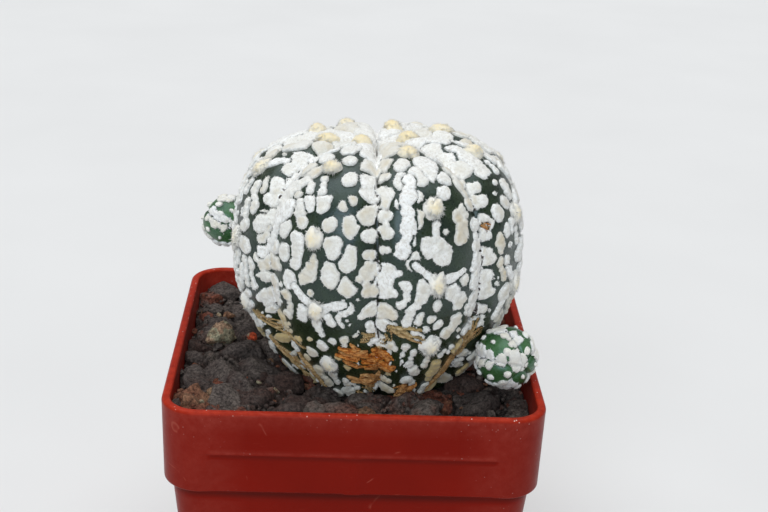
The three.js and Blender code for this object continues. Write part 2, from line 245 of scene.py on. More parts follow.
# Felt: reaches and gaps in millimetres on the main head, angles down in degrees
FLECK_REACH = 1.38
HALF_GAP = 0.25
WAIST = 0.62
WING_SHARE = 0.55
# Cream in the middle of each fleck: partly its own colour, partly painted shade that leaves the rim
# lighter
CREAM_AND_RIM_LIGHT = 0.34
FUSED_TO = 42
CROWN_OVERLAP = 0.34
CROWN_GROWTH = 1.1
SMALL_WINGS_TO = 80
SEAM_STARTS = np.radians((38, 58))
LONG_ARMS = np.array([(93, -25), (83, 21)])
BARK_TONE = 0.4
ARM_BACK = 1.6
ARM_AHEAD = (1.4, 2.4)
ARM_HALF_WIDTH = (0.5, 0.62)
ARM_FLATTENING = 0.7
ARM_SPAN = 9
HIDDEN_ARMS_FROM = 60
HIDDEN_ARM_SHARE = 0.3
BAR_HALF_LENGTH = (0.4, 1.0)
BAR_REACH = (0.45, 0.75)
FLECK_LIMITS = (0.7, 1.6)
FLECK_SPREAD = 0.2
SMALL_NEAR_SOIL = (95, 125)
MOST_IN_A_CHAIN = 4
CHAINED_TO = 38
JOIN_REACH = 1.3
DOT_SIZE = (0.35, 0.65)
FLAKES = 14
FLAKE_SHARE = (0.25, 0.6)
FLAKE_HALF_WIDTH = (0.17, 0.36)
STRANDS = 7
STRAND_SHARE = (0.35, 0.9)
STRAND_HALF_WIDTH = (0.09, 0.19)
HAIR_STEP = 0.21
HAIR_REACH = (0.06, 0.3)
HAIR_RADIUS = 0.08

# Wool: shares of its radius, and the angle down in degrees that the young wool reaches
WOOL_YOUNG_TO = 50
WOOL_OVAL = (1.1, 1.4)
WOOL_HEIGHT = (0.6, 0.85)
WOOL_LEAN = (0.1, 0.4)
WOOL_HAIR = (0.16, 0.5)
WOOL_HAIR_RADIUS = 0.05

# Corky scars and dried strands on the main head: places down and round it in degrees, the
# half width, and the tone from orange-brown at 0 to straw at 1
SCARS = [
    ([(117, -20), (120, -12), (122, -5.5)], 0.75, 0.1),
    ([(119.7, -5.3), (122, 0), (125.2, 3.6)], 0.7, 0.0),
    ([(125.1, -10.3), (127, -3), (128.6, 6.2)], 0.65, 0.15),
    ([(131.7, -17.4), (135, -9), (138.8, -0.7)], 0.6, 0.35),
    ([(141, -13), (147, -6)], 0.8, 0.7),
    ([(110.6, -8.5), (111.5, -2.5)], 1.1, 1.0),
    ([(111.5, 0.5), (113, 3.5)], 0.9, 1.0),
    ([(107, 2), (108, 10), (112.2, 19)], 0.55, 0.85),
    ([(107.5, 46.6), (118, 46), (128, 44), (134.4, 29.8)], 0.5, 0.9),
    ([(114, 50), (124, 44), (137, 33), (146, 30)], 0.6, 0.55),
    ([(121, 41), (133, 38), (145, 41)], 0.5, 0.7),
    ([(106, -66), (113, -52), (118.4, -34.2)], 0.45, 0.9),
    ([(118, -60), (130, -54.6), (146, -52)], 0.5, 0.75),
    ([(124, -48), (133, -40), (147, -37)], 0.4, 0.8),
    ([(138, 16), (147, 12)], 0.6, 0.3),
    ([(69, 46), (72.5, 47.5)], 0.2, 0.45),
]

# Long strips of joined flecks on the main head: places, half width, and tone
STRIPS = [
    ([(51, -35.5), (56, -41), (63, -45), (70.5, -54)], 1.1, 0.22),
    ([(61, -38), (66, -44), (74, -47), (80, -53.5)], 1.05, 0.08),
    ([(50, 13.5), (57, 10), (66, 11), (75, 7.5)], 1.05, 0.05),
]
STRIPS += [([(10, furrow), (22, furrow), (38, furrow)], 1.1, 0) for furrow in HEAD.furrows]


# Random draws and noise

def seeded_random(seed):
    """The same stream of numbers from 0 to 1 that the solids are sown with."""
    full = 0xFFFFFFFF
    state = seed

    def draw():
        nonlocal state
        state = (state + 0x6D2B79F5) & full
        t = ((state ^ (state >> 15)) * (1 | state)) & full
        t = ((t + (((t ^ (t >> 7)) * (61 | t)) & full)) & full) ^ t
        return ((t ^ (t >> 14)) & full) / 4294967296

    return draw


def lattice(cells, seed):
    mixed = (cells[..., 0] * 73856093) ^ (cells[..., 1] * 19349663) ^ (cells[..., 2] * 83492791)
    mixed = (mixed ^ (seed * 2654435761)) & 0xFFFFFFFF
    mixed = ((mixed ^ (mixed >> 13)) * 1274126177) & 0xFFFFFFFF
    mixed = ((mixed ^ (mixed >> 16)) * 668265263) & 0xFFFFFFFF
    return (mixed ^ (mixed >> 15)) / 4294967295.0


def noise(points, size, seed):
    """Smooth noise from -1 to 1 with features about size across."""
    scaled = np.asarray(points, float) / size
    cell = np.floor(scaled).astype(np.int64)
    part = scaled - cell
    part = part * part * (3 - 2 * part)
    total = np.zeros(scaled.shape[:-1])
    for corner in np.ndindex(2, 2, 2):
        step = np.array(corner)
        weight = np.prod(np.where(step == 1, part, 1 - part), axis=-1)
        total += weight * lattice(cell + step, seed)
    return total * 2 - 1


def fractal(points, size, seed, octaves=3):
    total = np.zeros(np.shape(points)[:-1])
    for octave in range(octaves):
        total += noise(points, size / 2 ** octave, seed + 17 * octave) / 2 ** octave
    return total


def pits(points, size, seed):
    """0 at scattered centres about size apart, growing to about 1 between them."""
    scaled = np.asarray(points, float) / size
    cell = np.floor(scaled).astype(np.int64)
    nearest = np.full(scaled.shape[:-1], 9.0)
    for corner in np.ndindex(3, 3, 3):
        near = cell + np.array(corner) - 1
        jitter = np.stack([lattice(near, seed + axis) for axis in range(3)], -1)
        nearest = np.minimum(nearest, lengths(near + jitter - scaled))
    return np.clip(nearest, 0, 1)


def bell(value, width):
    return np.exp(-((value / width) ** 2))


def smoothstep(value, low, high):
    part = np.clip((value - low) / (high - low), 0, 1)
    return part * part * (3 - 2 * part)


def lengths(vectors):
    return np.linalg.norm(vectors, axis=-1)


def spans(points, others):
    """How far each of the points is from each of the others."""
    return lengths(points[:, None] - others[None])


def unit(vectors):
    return vectors / np.linalg.norm(vectors, axis=-1, keepdims=True)


# Meshes

def link(name, data):
    """Puts a new object of the data into the scene."""
    thing = bpy.data.objects.new(name, data)
    bpy.context.scene.collection.objects.link(thing)
    return thing


class Build:
    """Collects vertices, faces and one tone a vertex, and makes one object of them."""

    def __init__(self):
        self.points = []
        self.faces = []
        self.tones = []
        self.count = 0

    def add(self, points, faces, tone=0.0):
        points = np.asarray(points, float).reshape(-1, 3)
        self.points.append(points)
        self.faces.append(np.asarray(faces, int) + self.count)
        self.tones.append(np.broadcast_to(np.asarray(tone, float), (len(points),)))
        self.count += len(points)

    def object(self, name, material, smooth=True):
        mesh = bpy.data.meshes.new(name)
        points = np.concatenate(self.points) * MM
        corners = np.concatenate([block.ravel() for block in self.faces])
        sizes = np.concatenate([np.full(len(block), block.shape[1]) for block in self.faces])
        starts = np.concatenate([[0], np.cumsum(sizes)[:-1]])
        mesh.vertices.add(len(points))
        mesh.vertices.foreach_set("co", points.ravel())
        mesh.loops.add(len(corners))
        mesh.loops.foreach_set("vertex_index", corners.astype(np.int32))
        mesh.polygons.add(len(sizes))
        mesh.polygons.foreach_set("loop_start", starts.astype(np.int32))
        mesh.polygons.foreach_set("loop_total", sizes.astype(np.int32))
        tone = mesh.attributes.new("tone", "FLOAT", "POINT")
        tone.data.foreach_set("value", np.concatenate(self.tones).astype(np.float32))
        mesh.update(calc_edges=True)
        mesh.validate()
        mesh.polygons.foreach_set("use_smooth", np.full(len(mesh.polygons), smooth))
        thing = link(name, mesh)
        mesh.materials.append(material)
        return thing


def ring_faces(rings, count, closed=True):
    """Quads between successive rings of count points each."""
    ring = np.arange(rings - 1)[:, None] * count
    at = np.arange(count if closed else count - 1)[None, :]
    after = (at + 1) % count
    quads = np.stack([ring + at, ring + after, ring + count + after, ring + count + at], -1)
    return quads.reshape(-1, 4)


def cap_faces(first, count, middle, forwards):
    """Triangles from a ring that starts at one index to a middle point."""
    at = np.arange(count)
    after = (at + 1) % count
    middle = np.full(count, middle)
    if forwards:
        return np.stack([first + at, first + after, middle], -1)
    return np.stack([first + after, first + at, middle], -1)


def spikes(build, roots, tips, radius, tone, tip_tone):
    """Thin three-sided hairs from roots to tips, closed at the root."""
    along = unit(tips - roots)
    other = np.where(np.abs(along[:, 2:3]) < 0.9, [[0.0, 0.0, 1.0]], [[1.0, 0.0, 0.0]])
    side = unit(np.cross(along, other))
    up = np.cross(along, side)
    radius = np.broadcast_to(np.asarray(radius, float), (len(roots),))[:, None]
    corners = [roots + radius * (math.cos(a) * side + math.sin(a) * up)
               for a in (0, 2 * math.pi / 3, 4 * math.pi / 3)]
    points = np.stack(corners + [tips], 1)
    first = np.arange(len(roots))[:, None] * 4
    sides = np.array([[0, 1, 3], [1, 2, 3], [2, 0, 3], [0, 2, 1]])
    faces = (first[:, :, None] + sides[None]).reshape(-1, 3)
    build.add(points, faces, np.stack([tone, tone, tone, tip_tone], 1).ravel())


# Materials

def linear(red, green, blue):
    """A screen colour from 0 to 255 as the shader wants it."""
    parts = [value / 255 for value in (red, green, blue)]
    return tuple(p / 12.92 if p <= 0.04045 else ((p + 0.055) / 1.055) ** 2.4
                 for p in parts) + (1,)


class Nodes:
    """A short way to wire up one material."""

    def __init__(self, name, roughness, specular=0.5):
        self.material = bpy.data.materials.new(name)
        self.material.use_nodes = True
        self.tree = self.material.node_tree
        self.shader = self.tree.nodes["Principled BSDF"]
        self.shader.inputs["Roughness"].default_value = roughness
        self.shader.inputs["Specular IOR Level"].default_value = specular
        self.place = self.tree.nodes.new("ShaderNodeTexCoord").outputs["Object"]

    def feed(self, socket, value):
        if isinstance(value, bpy.types.NodeSocket):
            self.tree.links.new(value, socket)
        else:
            socket.default_value = value

    def new(self, kind, **inputs):
        node = self.tree.nodes.new(kind)
        for key, value in inputs.items():
            self.feed(node.inputs[key.replace("_", " ")], value)
        return node

    def noise(self, size, detail=3.0, roughness=0.55, place=None):
        """Noise from 0 to 1 with features about size millimetres across."""
        node = self.new("ShaderNodeTexNoise", Vector=place or self.place,
                        Scale=1 / (size * MM), Detail=detail, Roughness=roughness)
        return node.outputs["Fac"]

    def cells(self, size):
        node = self.new("ShaderNodeTexVoronoi", Vector=self.place, Scale=1 / (size * MM))
        return node.outputs["Distance"]

    def stretched(self, along_x, along_y, along_z):
        """Coordinates that draw a texture out along the axes with small numbers."""
        node = self.new("ShaderNodeMapping", Vector=self.place,
                        Scale=(along_x, along_y, along_z))
        return node.outputs[0]

    def ramp(self, value, *stops):
        """A smooth change of colour or value: each stop is a position and a colour."""
        node = self.new("ShaderNodeValToRGB", Fac=value)
        elements = node.color_ramp.elements
        while len(elements) < len(stops):
            elements.new(0.5)
        for element, (position, colour) in zip(elements, stops):
            element.position = position
            element.color = colour if isinstance(colour, tuple) else (colour,) * 3 + (1,)
        return node.outputs["Color"]

    def mix(self, share, first, second):
        node = self.tree.nodes.new("ShaderNodeMix")
        node.data_type = "RGBA"
        colours = [socket for socket in node.inputs if socket.type == "RGBA"]
        self.feed(node.inputs["Factor"], share)
        self.feed(colours[0], first)
        self.feed(colours[1], second)
        return next(socket for socket in node.outputs if socket.type == "RGBA")

    def maths(self, operation, first, second):
        node = self.tree.nodes.new("ShaderNodeMath")
        node.operation = operation
        self.feed(node.inputs[0], first)
        self.feed(node.inputs[1], second)
        return node.outputs[0]

    def tone(self):
        node = self.tree.nodes.new("ShaderNodeAttribute")
        node.attribute_name = "tone"
        return node.outputs["Fac"]

    def bump(self, height, depth, under=None):
        """Relief of so many millimetres, on top of another one."""
        node = self.new("ShaderNodeBump", Height=height, Distance=depth * MM)
        if under is not None:
            self.feed(node.inputs["Normal"], under)
        return node.outputs["Normal"]

    def set(self, **inputs):
        for key, value in inputs.items():
            self.shader.inputs[key.replace("_", " ")].default_value = value

    def finish(self, colour, normal=None, roughness=None):
        self.feed(self.shader.inputs["Base Color"], colour)
        if normal is not None:
            self.feed(self.shader.inputs["Normal"], normal)
        if roughness is not None:
            self.feed(self.shader.inputs["Roughness"], roughness)
        return self.material


def skin_material(name, dark, light, crease):
    """Waxy green skin: finely grained, paler in patches, and brown along the creases."""
    nodes = Nodes(name, 0.4, 0.55)
    fine = nodes.noise(0.35, 4, 0.6)
    colour = nodes.ramp(nodes.noise(2.6, 3), (0.3, dark), (0.72, light))
    colour = nodes.mix(nodes.ramp(fine, (0.45, 0.0), (0.8, 0.35)), colour, light)
    specks = nodes.ramp(nodes.cells(0.4), (0.08, 0.45), (0.22, 0.0))
    colour = nodes.mix(specks, colour, linear(92, 102, 86))
    colour = nodes.mix(nodes.tone(), colour, crease)
    normal = nodes.bump(nodes.noise(0.25, 4, 0.6), 0.05)
    normal = nodes.bump(nodes.noise(1.4, 2), 0.12, normal)
    nodes.set(Specular_Tint=(0.58, 0.82, 1, 1), Coat_Weight=0.25, Coat_Roughness=0.2)
    return nodes.finish(colour, normal, nodes.ramp(fine, (0.3, 0.22), (0.8, 0.46)))


def felt_material(name, pale, shade, soiled):
    """White felt: matted fibres, grey-cream and then soiled as the tone grows to 1, and dark with
    dirt as it falls below 0. The grey-cream is partly the felt's own cream and partly painted shade
    in the middle of each fleck, which leaves its rim lighter like a painted highlight."""
    nodes = Nodes(name, 0.85, 0.2)
    fibres = nodes.noise(0.34, 5, 0.68)
    blotch = nodes.noise(1.1, 3)
    colour = nodes.ramp(fibres, (0.38, shade), (0.54, pale))
    # The tone brings grey-cream first: partly the felt's own cream, and partly painted shade in the
    # middles of the flecks that leaves their rims lighter.
    stain_and_rim_light = nodes.maths("ADD", nodes.tone(), nodes.maths("MULTIPLY", blotch, 0.3))
    aged_and_rim_lit = nodes.ramp(stain_and_rim_light, (0.45, linear(224, 221, 211)), (0.95, soiled))
    colour = nodes.mix(nodes.ramp(stain_and_rim_light, (0.18, 0.0), (0.5, 0.75), (1.0, 0.95)), colour, aged_and_rim_lit)
    dirt = nodes.ramp(nodes.maths("MULTIPLY", nodes.tone(), -1), (0.15, 0.0), (0.6, 1.0))
    colour = nodes.mix(dirt, colour, linear(54, 42, 36))
    normal = nodes.bump(fibres, 0.13)
    nodes.set(Sheen_Weight=0.35, Sheen_Roughness=0.5)
    return nodes.finish(colour, normal)


def wool_material(name, root, tip):
    """Areole wool: warm at the root and paler at the tips, where the tone grows to 1."""
    nodes = Nodes(name, 0.9, 0.2)
    share = nodes.maths("ADD", nodes.tone(),
                        nodes.maths("MULTIPLY", nodes.noise(0.6, 4, 0.65), 0.5))
    colour = nodes.ramp(share, (0.2, root), (0.95, tip))
    normal = nodes.bump(nodes.noise(0.12, 4, 0.7), 0.1)
    nodes.set(Sheen_Weight=0.6, Sheen_Roughness=0.5)
    return nodes.finish(colour, normal)


def plastic_material():
    """Red moulded plastic with scuffs and scratches. Where the tone nears 1 it is paler and redder,
    partly rubbed and partly a painted highlight along the lip and the recess's upper edge, with
    painted glints; where it falls to -1 it is darkened with painted shade.
    """
    nodes = Nodes("pot_plastic", 0.36, 0.07)
    colour = nodes.ramp(nodes.noise(14, 3), (0.3, linear(118, 17, 5)), (0.7, linear(127, 20, 7)))
    scuffs = nodes.noise(3.0, 5, 0.75, nodes.stretched(1, 1, 9))
    colour = nodes.mix(nodes.ramp(scuffs, (0.62, 0.0), (0.8, 0.14)), colour,
                       linear(190, 96, 78))
    lines = nodes.ramp(nodes.noise(9, 0), (0.494, 0.0), (0.5, 0.3), (0.506, 0.0))
    short = nodes.ramp(nodes.noise(3.5, 2), (0.6, 0.0), (0.66, 1.0))
    colour = nodes.mix(nodes.maths("MULTIPLY", lines, short), colour, linear(196, 108, 90))
    # The paler, redder band along the lip is partly rubbed plastic and partly a painted highlight
    # where the lip curves up to the light.
    patchy_wear_and_light = nodes.ramp(nodes.noise(1.4, 4, 0.7), (0.3, 0.25), (0.7, 0.85))
    scuffed_and_lit = nodes.ramp(nodes.tone(), (0.4, linear(172, 82, 70)), (0.9, linear(172, 50, 30)))
    colour = nodes.mix(nodes.maths("MULTIPLY", nodes.tone(), patchy_wear_and_light), colour, scuffed_and_lit)
    # Painted shade: where the tone falls below 0, under the collar's foot and below the recess's
    # ledge, the red is darkened.
    painted_shade = nodes.maths("MULTIPLY", nodes.tone(), -0.75)
    colour = nodes.mix(nodes.ramp(painted_shade, (0.0, 0.0), (1.0, 1.0)), colour, linear(60, 14, 9))
    # Painted glints: small white specks where the tone is high, mostly along the lip.
    specks = nodes.maths("MULTIPLY", nodes.ramp(nodes.cells(0.7), (0.06, 0.75), (0.16, 0.0)),
                         nodes.ramp(nodes.noise(6, 2), (0.5, 0.0), (0.56, 1.0)))
    colour = nodes.mix(nodes.maths("MULTIPLY", nodes.tone(), specks), colour,
                       linear(236, 214, 204))
    normal = nodes.bump(nodes.noise(0.5, 3), 0.02)
    normal = nodes.bump(nodes.noise(9, 2), 0.12, normal)
    roughness = nodes.ramp(nodes.noise(0.7, 4, 0.6), (0.3, 0.28), (0.75, 0.42))
    return nodes.finish(colour, normal, roughness)


def grit_material():
    """Lava and pumice grit: brown, grey, rust, tan, pale stone and red as the tone grows."""
    nodes = Nodes("grit", 0.9, 0.25)
    grain = nodes.noise(0.45, 5, 0.75)
    stone = nodes.ramp(nodes.tone(), (0.0, linear(88, 68, 62)), (0.12, linear(98, 88, 84)),
                       (0.28, linear(126, 115, 108)), (0.45, linear(134, 76, 58)),
                       (0.7, linear(156, 122, 94)), (0.84, linear(178, 174, 146)),
                       (0.92, linear(232, 98, 60)))
    dark = nodes.mix(0.86, stone, linear(18, 13, 12))
    colour = nodes.mix(nodes.ramp(grain, (0.36, 0.0), (0.62, 1.0)), dark, stone)
    dust = nodes.ramp(nodes.noise(0.25, 3), (0.64, 0.0), (0.76, 0.55))
    colour = nodes.mix(dust, colour, linear(150, 140, 132))
    normal = nodes.bump(nodes.noise(0.35, 5, 0.75), 0.3)
    normal = nodes.bump(nodes.cells(0.8), 0.2, normal)
    return nodes.finish(colour, normal)


def cork_material():
    """Dried corky skin and strands, orange-brown to straw by the tone."""
    nodes = Nodes("cork", 0.75, 0.2)
    layers = nodes.noise(0.6, 5, 0.75, nodes.stretched(1, 1, 2.5))
    warm = nodes.ramp(layers, (0.34, linear(64, 32, 14)), (0.46, linear(176, 92, 32)),
                      (0.58, linear(220, 146, 66)), (0.72, linear(238, 194, 128)))
    straw = nodes.ramp(layers, (0.32, linear(104, 84, 54)), (0.48, linear(196, 168, 118)),
                       (0.68, linear(234, 216, 176)))
    colour = nodes.mix(nodes.tone(), warm, straw)
    normal = nodes.bump(nodes.noise(0.3, 5, 0.7), 0.2)
    return nodes.finish(colour, normal)


# Heads: the same rules as the solids, with finer pieces

def turn_of(head):
    """The turn from a head's own frame to the plant's."""
    spin = Vector((0, 0, 1)).rotation_difference(head.axis.normalized())
    return np.array(spin.to_matrix())


def to_plant(head, points):
    return np.asarray(points) @ turn_of(head).T + np.array(head.centre)


def direction(down, around):
    down, around = np.broadcast_arrays(down, around)
    return np.stack([np.sin(down) * np.sin(around), -np.sin(down) * np.cos(around),
                     np.cos(down)], -1)


def angles_of(dirs):
    return np.arccos(np.clip(dirs[..., 2], -1, 1)), np.arctan2(dirs[..., 0], -dirs[..., 1])


def place_of(points):
    """The angles down and round a head of any points in its frame."""
    return angles_of(unit(points))


def near_crown(down):
    """1 on the crown, where the felt has fused, falling to 0 down the flanks."""
    return bell(down, math.radians(FUSED_TO))


def furrow_edges(head):
    """The angles of the furrows round a head, and of the first one again after a turn."""
    furrows = head.furrows
    return np.array([math.radians(angle) for angle in (*furrows, furrows[0] + 360)])


def past_first(edges, around):
    """An angle round a head, turned to lie within one turn after the first furrow."""
    return edges[0] + np.mod(np.asarray(around) - edges[0], 2 * math.pi)


def across_rib(head, around):
    """0 in the furrow on a rib's left, 1 in the one on its right, and the rib's width."""
    edges = furrow_edges(head)
    angle = past_first(edges, around)
    rib = np.clip(np.searchsorted(edges, angle, side="right") - 1, 0, len(edges) - 2)
    width = edges[rib + 1] - edges[rib]
    return np.clip((angle - edges[rib]) / width, 0, 1), width


def profile_radius(head, down):
    up = down < math.pi / 2
    height = np.where(up, head.crown_height, head.foot_height)
    power = np.where(up, head.crown_power, head.foot_power)
    side = np.abs(np.sin(down) / head.radius) ** power
    rise = np.abs(np.cos(down) / height) ** power
    return (side + rise) ** (-1 / power)


def skin_radius(head, dirs):
    down, around = angles_of(dirs)
    crown_width = math.radians(head.crown_furrow_width)
    depth = head.furrow_depth + head.crown_furrow_depth * bell(down, crown_width)
    crest = np.sin(math.pi * across_rib(head, around)[0])
    ribbed = profile_radius(head, down) * (1 - depth * (1 - crest) ** 2)
    return ribbed - head.dip * bell(down, math.radians(head.dip_width))


def skin_point(head, dirs):
    return dirs * skin_radius(head, dirs)[..., None]


def skin_frames(head, down, around):
    """Points on the skin with east, north and outward unit vectors."""
    step = 0.01
    point = skin_point(head, direction(down, around))
    east = unit(skin_point(head, direction(down, around + step)) -
                skin_point(head, direction(down, around - step)))
    north = unit(skin_point(head, direction(down - step, around)) -
                 skin_point(head, direction(down + step, around)))
    out = unit(np.cross(east, north))
    return point, east, np.cross(out, east), out


def furrow_side(head, points):
    """1 on the right of the nearest furrow, and -1 on its left."""
    return np.where(across_rib(head, place_of(points)[1])[0] < 0.5, 1, -1)


def furrow_sway(head, points):
    """How far the seam between the felt's wings strays to the left of the furrow."""
    return 0.8 * head.scale * noise(points, 1.5 * head.scale, 91)


def furrow_distance(head, points):
    """How far points on the skin are from the nearest furrow."""
    down, around = place_of(points)
    across, width = across_rib(head, around)
    return np.minimum(across, 1 - across) * width * np.sin(down) * lengths(points)


def cut_off(head, dirs, reach):
    """Keeps the reach inside the flat cuts of a head's foot or seat."""
    for normal, distance in head.cuts:
        facing = dirs @ normal
        limit = distance / np.maximum(facing, 1e-6)
        reach = np.where(facing > 1e-6, np.minimum(reach, limit), reach)
    return reach


def beside(head, down, around, across, up):
    reach = float(profile_radius(head, down))
    return down - up / reach, around + across / (reach * math.sin(down))


@dataclass
class Seed:
    """A place on a head where an areole, a patch of felt or a bare spot grows."""
    down: float
    around: float
    kind: str
    rise: float
    point: np.ndarray


def sow(head):
    """The seeds of the solids' cells, from the same rule and the same draws."""
    draw = seeded_random(head.seed)
    edges = furrow_edges(head)
    seeds = []
    points = np.empty((0, 3))

    def add(down, around, kind, spacing):
        nonlocal points
        point = skin_point(head, direction(down, around))
        if len(points) and np.min(lengths(points - point)) < spacing:
            return
        points = np.vstack([points, point])
        rise = head.fleck_rise * (1 + RISE_SPREAD * (draw() - 0.5))
        seeds.append(Seed(down, around, kind, rise, point))

    add(0.0, 0.0, "areole", 0)
    for crest, angle in zip((edges[:-1] + edges[1:]) / 2, head.areole_starts):
        while angle < head.areole_end:
            down = math.radians(angle)
            add(down, crest, "areole", head.areole_gap)
            if angle > head.arm_start:
                for side in (-1, 1):
                    spot = beside(head, down, crest, side * head.arm_across, head.arm_up)
                    add(*spot, "arm", head.arm_gap)
                add(*beside(head, down, crest, 0, -head.bar_drop), "bar", head.arm_gap)
            angle += head.areole_step
    for furrow in edges[:-1]:
        down = math.radians(head.pair_start)
        while math.degrees(down) < head.soil_angle:
            for side in (-1, 1):
                jitter = head.pair_jitter * (draw() * 2 - 1)
                spot = beside(head, down, furrow, side * head.pair_offset, jitter)
                add(*spot, "pair", head.fleck_spacing * PAIR_CLOSENESS)
            down += head.pair_step / float(profile_radius(head, down))
    for _ in range(head.tries):
        down = math.acos(1 - 2 * draw())
        around = 2 * math.pi * draw()
        buried = math.degrees(down) > head.soil_angle
        kind = "fleck" if not buried and draw() > head.bare_share else "bare"
        add(down, around, kind, head.root_spacing if buried else head.fleck_spacing)
    return [seed for seed in seeds
            if not any(np.linalg.norm(seed.point - seat) < reach
                       for seat, reach in head.seats)]


def root_cut():
    normal = turn_of(HEAD).T @ np.array((0.0, 0.0, -1.0))
    return normal, HEAD.centre.z - (POT_HEIGHT - ROOT_DEPTH)


def seat_of(offset):
    """Where an offset meets the main head's skin, and how far its centre is from there."""
    span = np.array(offset.centre - HEAD.centre)
    point = skin_point(HEAD, unit(turn_of(HEAD).T @ span))
    return point, np.linalg.norm(span) - np.linalg.norm(point)


def seat_cut(offset):
    inwards = unit(np.array(HEAD.centre - offset.centre))
    return turn_of(offset).T @ inwards, seat_of(offset)[1]


def skin_piece(head, material):
    """The bare skin: ribs, creased furrows and slight swellings."""
    rib_columns, rows = head.skin_grid
    share = np.arange(rib_columns) / rib_columns
    share = share - 0.55 * np.sin(2 * math.pi * share) / (2 * math.pi)
    edges = furrow_edges(head)
    around = np.concatenate([low + (high - low) * share for low, high in zip(edges, edges[1:])])
    down = math.pi * (np.arange(1, rows) / rows)
    dirs = direction(down[:, None], around[None, :])
    reach = skin_radius(head, dirs)
    points = dirs * reach[..., None]
    crease = bell(furrow_distance(head, points), head.crease)
    reach = reach - head.crease * crease * (0.8 + 0.4 * noise(points, 1.1, 5))
    reach = reach + 0.12 * head.scale * noise(points, 5.0, 3) * (1 - crease)
    shape = dirs * cut_off(head, dirs, reach)[..., None]
    poles = direction(np.array([0.0, math.pi]), np.zeros(2))
    poles = poles * cut_off(head, poles, skin_radius(head, poles))[:, None]
    tone = np.clip(crease * (0.55 + 0.45 * noise(points, 1.3, 9)), 0, 1)
    count = len(around)
    last = (rows - 2) * count
    build = Build()
    build.add(to_plant(head, np.vstack([shape.reshape(-1, 3), poles])),
              ring_faces(rows - 1, count)[:, ::-1], np.append(tone.ravel(), [0, 0]))
    build.faces.append(cap_faces(0, count, last + count, True))
    build.faces.append(cap_faces(last, count, last + count + 1, False))
    return build.object(head.name + "_skin", material)


# Felt: patches raised from the skin inside the contour of a field

@dataclass
class Patch:
    """A piece of felt or cork that grows round its sites, as far as each site's reach.

    Flecks and wings leave room for their neighbours; strips don't.
    """
    sites: list
    reaches: list
    rise: float
    tone: float
    kind: str = "fleck"


def path_points(head, path, step):
    """Points on the skin, a step apart, along a path of places down and round the head."""
    corners = skin_point(head, direction(*np.radians(np.array(path, float)).T))
    points = []
    for start, end in zip(corners, corners[1:]):
        count = max(2, int(np.linalg.norm(end - start) / step) + 1)
        points += [start + (end - start) * share for share in np.linspace(0, 1, count)]
    return skin_point(head, unit(np.array(points)))


def soiling(head, point, draw):
    """How brown a patch is: most near the soil, and cream in a few places above it."""
    above_rim = to_plant(head, point)[2] - POT_HEIGHT
    low = smoothstep(-above_rim, -10, 0)
    if draw.random() < 0.55 * low:
        return draw.uniform(0.3, 1) * head.soiled_share
    return draw.uniform(0, 0.14) + 0.2 * low + 0.2 * (draw.random() < 0.22)


@dataclass
class Spot:
    """One seed on the skin: its axes there, and how soiled and how young its felt is."""
    point: np.ndarray
    east: np.ndarray
    north: np.ndarray
    seed: Seed
    tone: float
    young: float


def patches_of(head, seed, areoles, draw):
    """The patches that grow round one seed: one, or now and then two small ones."""
    point, east, north, _ = skin_frames(head, seed.down, seed.around)
    tone = soiling(head, point, draw)
    spot = Spot(point, east, north, seed, tone, float(near_crown(seed.down)))
    if seed.kind == "arm":
        return [arm_patch(spot, areoles, draw)]
    if seed.kind == "bar":
        return [bar_patch(spot, draw)]
    reach = head.scale * float(np.clip(draw.lognormal(math.log(FLECK_REACH), FLECK_SPREAD),
                                          *FLECK_LIMITS))
    reach *= 1 + CROWN_GROWTH * spot.young
    reach *= 1 - 0.3 * float(smoothstep(math.degrees(seed.down), *SMALL_NEAR_SOIL))
    if seed.kind == "pair":
        return [wing_patch(head, spot, reach, draw)]
    return fleck_patches(head, spot, reach, draw)


def arm_patch(spot, areoles, draw):
    """One arm of the V above an areole: a long strip in a few places, and else a fleck."""
    point = spot.point
    owner = areoles[np.argmin(lengths(areoles - point))]
    away = unit(point - owner)
    down, around = np.degrees((spot.seed.down, math.remainder(spot.seed.around, 2 * math.pi)))
    shown = min(np.abs((down, around) - LONG_ARMS).max(1)) < ARM_SPAN
    if shown and away @ spot.east > 0:
        away = unit(away - ARM_FLATTENING * (away @ spot.north) * spot.north)
        point = owner + away * np.linalg.norm(point - owner)
    if shown or abs(around) > HIDDEN_ARMS_FROM and draw.random() < HIDDEN_ARM_SHARE:
        bend = np.cross(away, unit(point)) * draw.uniform(-0.2, 0.2)
        along = np.arange(-ARM_BACK, draw.uniform(*ARM_AHEAD), 0.3)
        sites = [point + away * a + bend * (a / 2) ** 2 for a in along]
        wide = draw.uniform(*ARM_HALF_WIDTH) * (1 + 0.5 * noise(sites, 1.2, 19))
        return Patch(sites, list(wide), 0.8 * spot.seed.rise, spot.tone * 0.4, "strip")
    grown = 1 + CROWN_GROWTH * spot.young
    reaches = [draw.uniform(0.75, 1.0) * grown, draw.uniform(0.6, 0.85) * grown]
    return Patch([point, point + away * draw.uniform(0.3, 1)], reaches, spot.seed.rise, spot.tone)


def bar_patch(spot, draw):
    """The short upright bar below an areole."""
    half = draw.uniform(*BAR_HALF_LENGTH)
    lean = spot.east * draw.uniform(-0.3, 0.3)
    sites = [spot.point + (spot.north + lean) * a for a in (-half, 0.0, half)]
    return Patch(sites, list(draw.uniform(*BAR_REACH, 3)), spot.seed.rise, spot.tone)


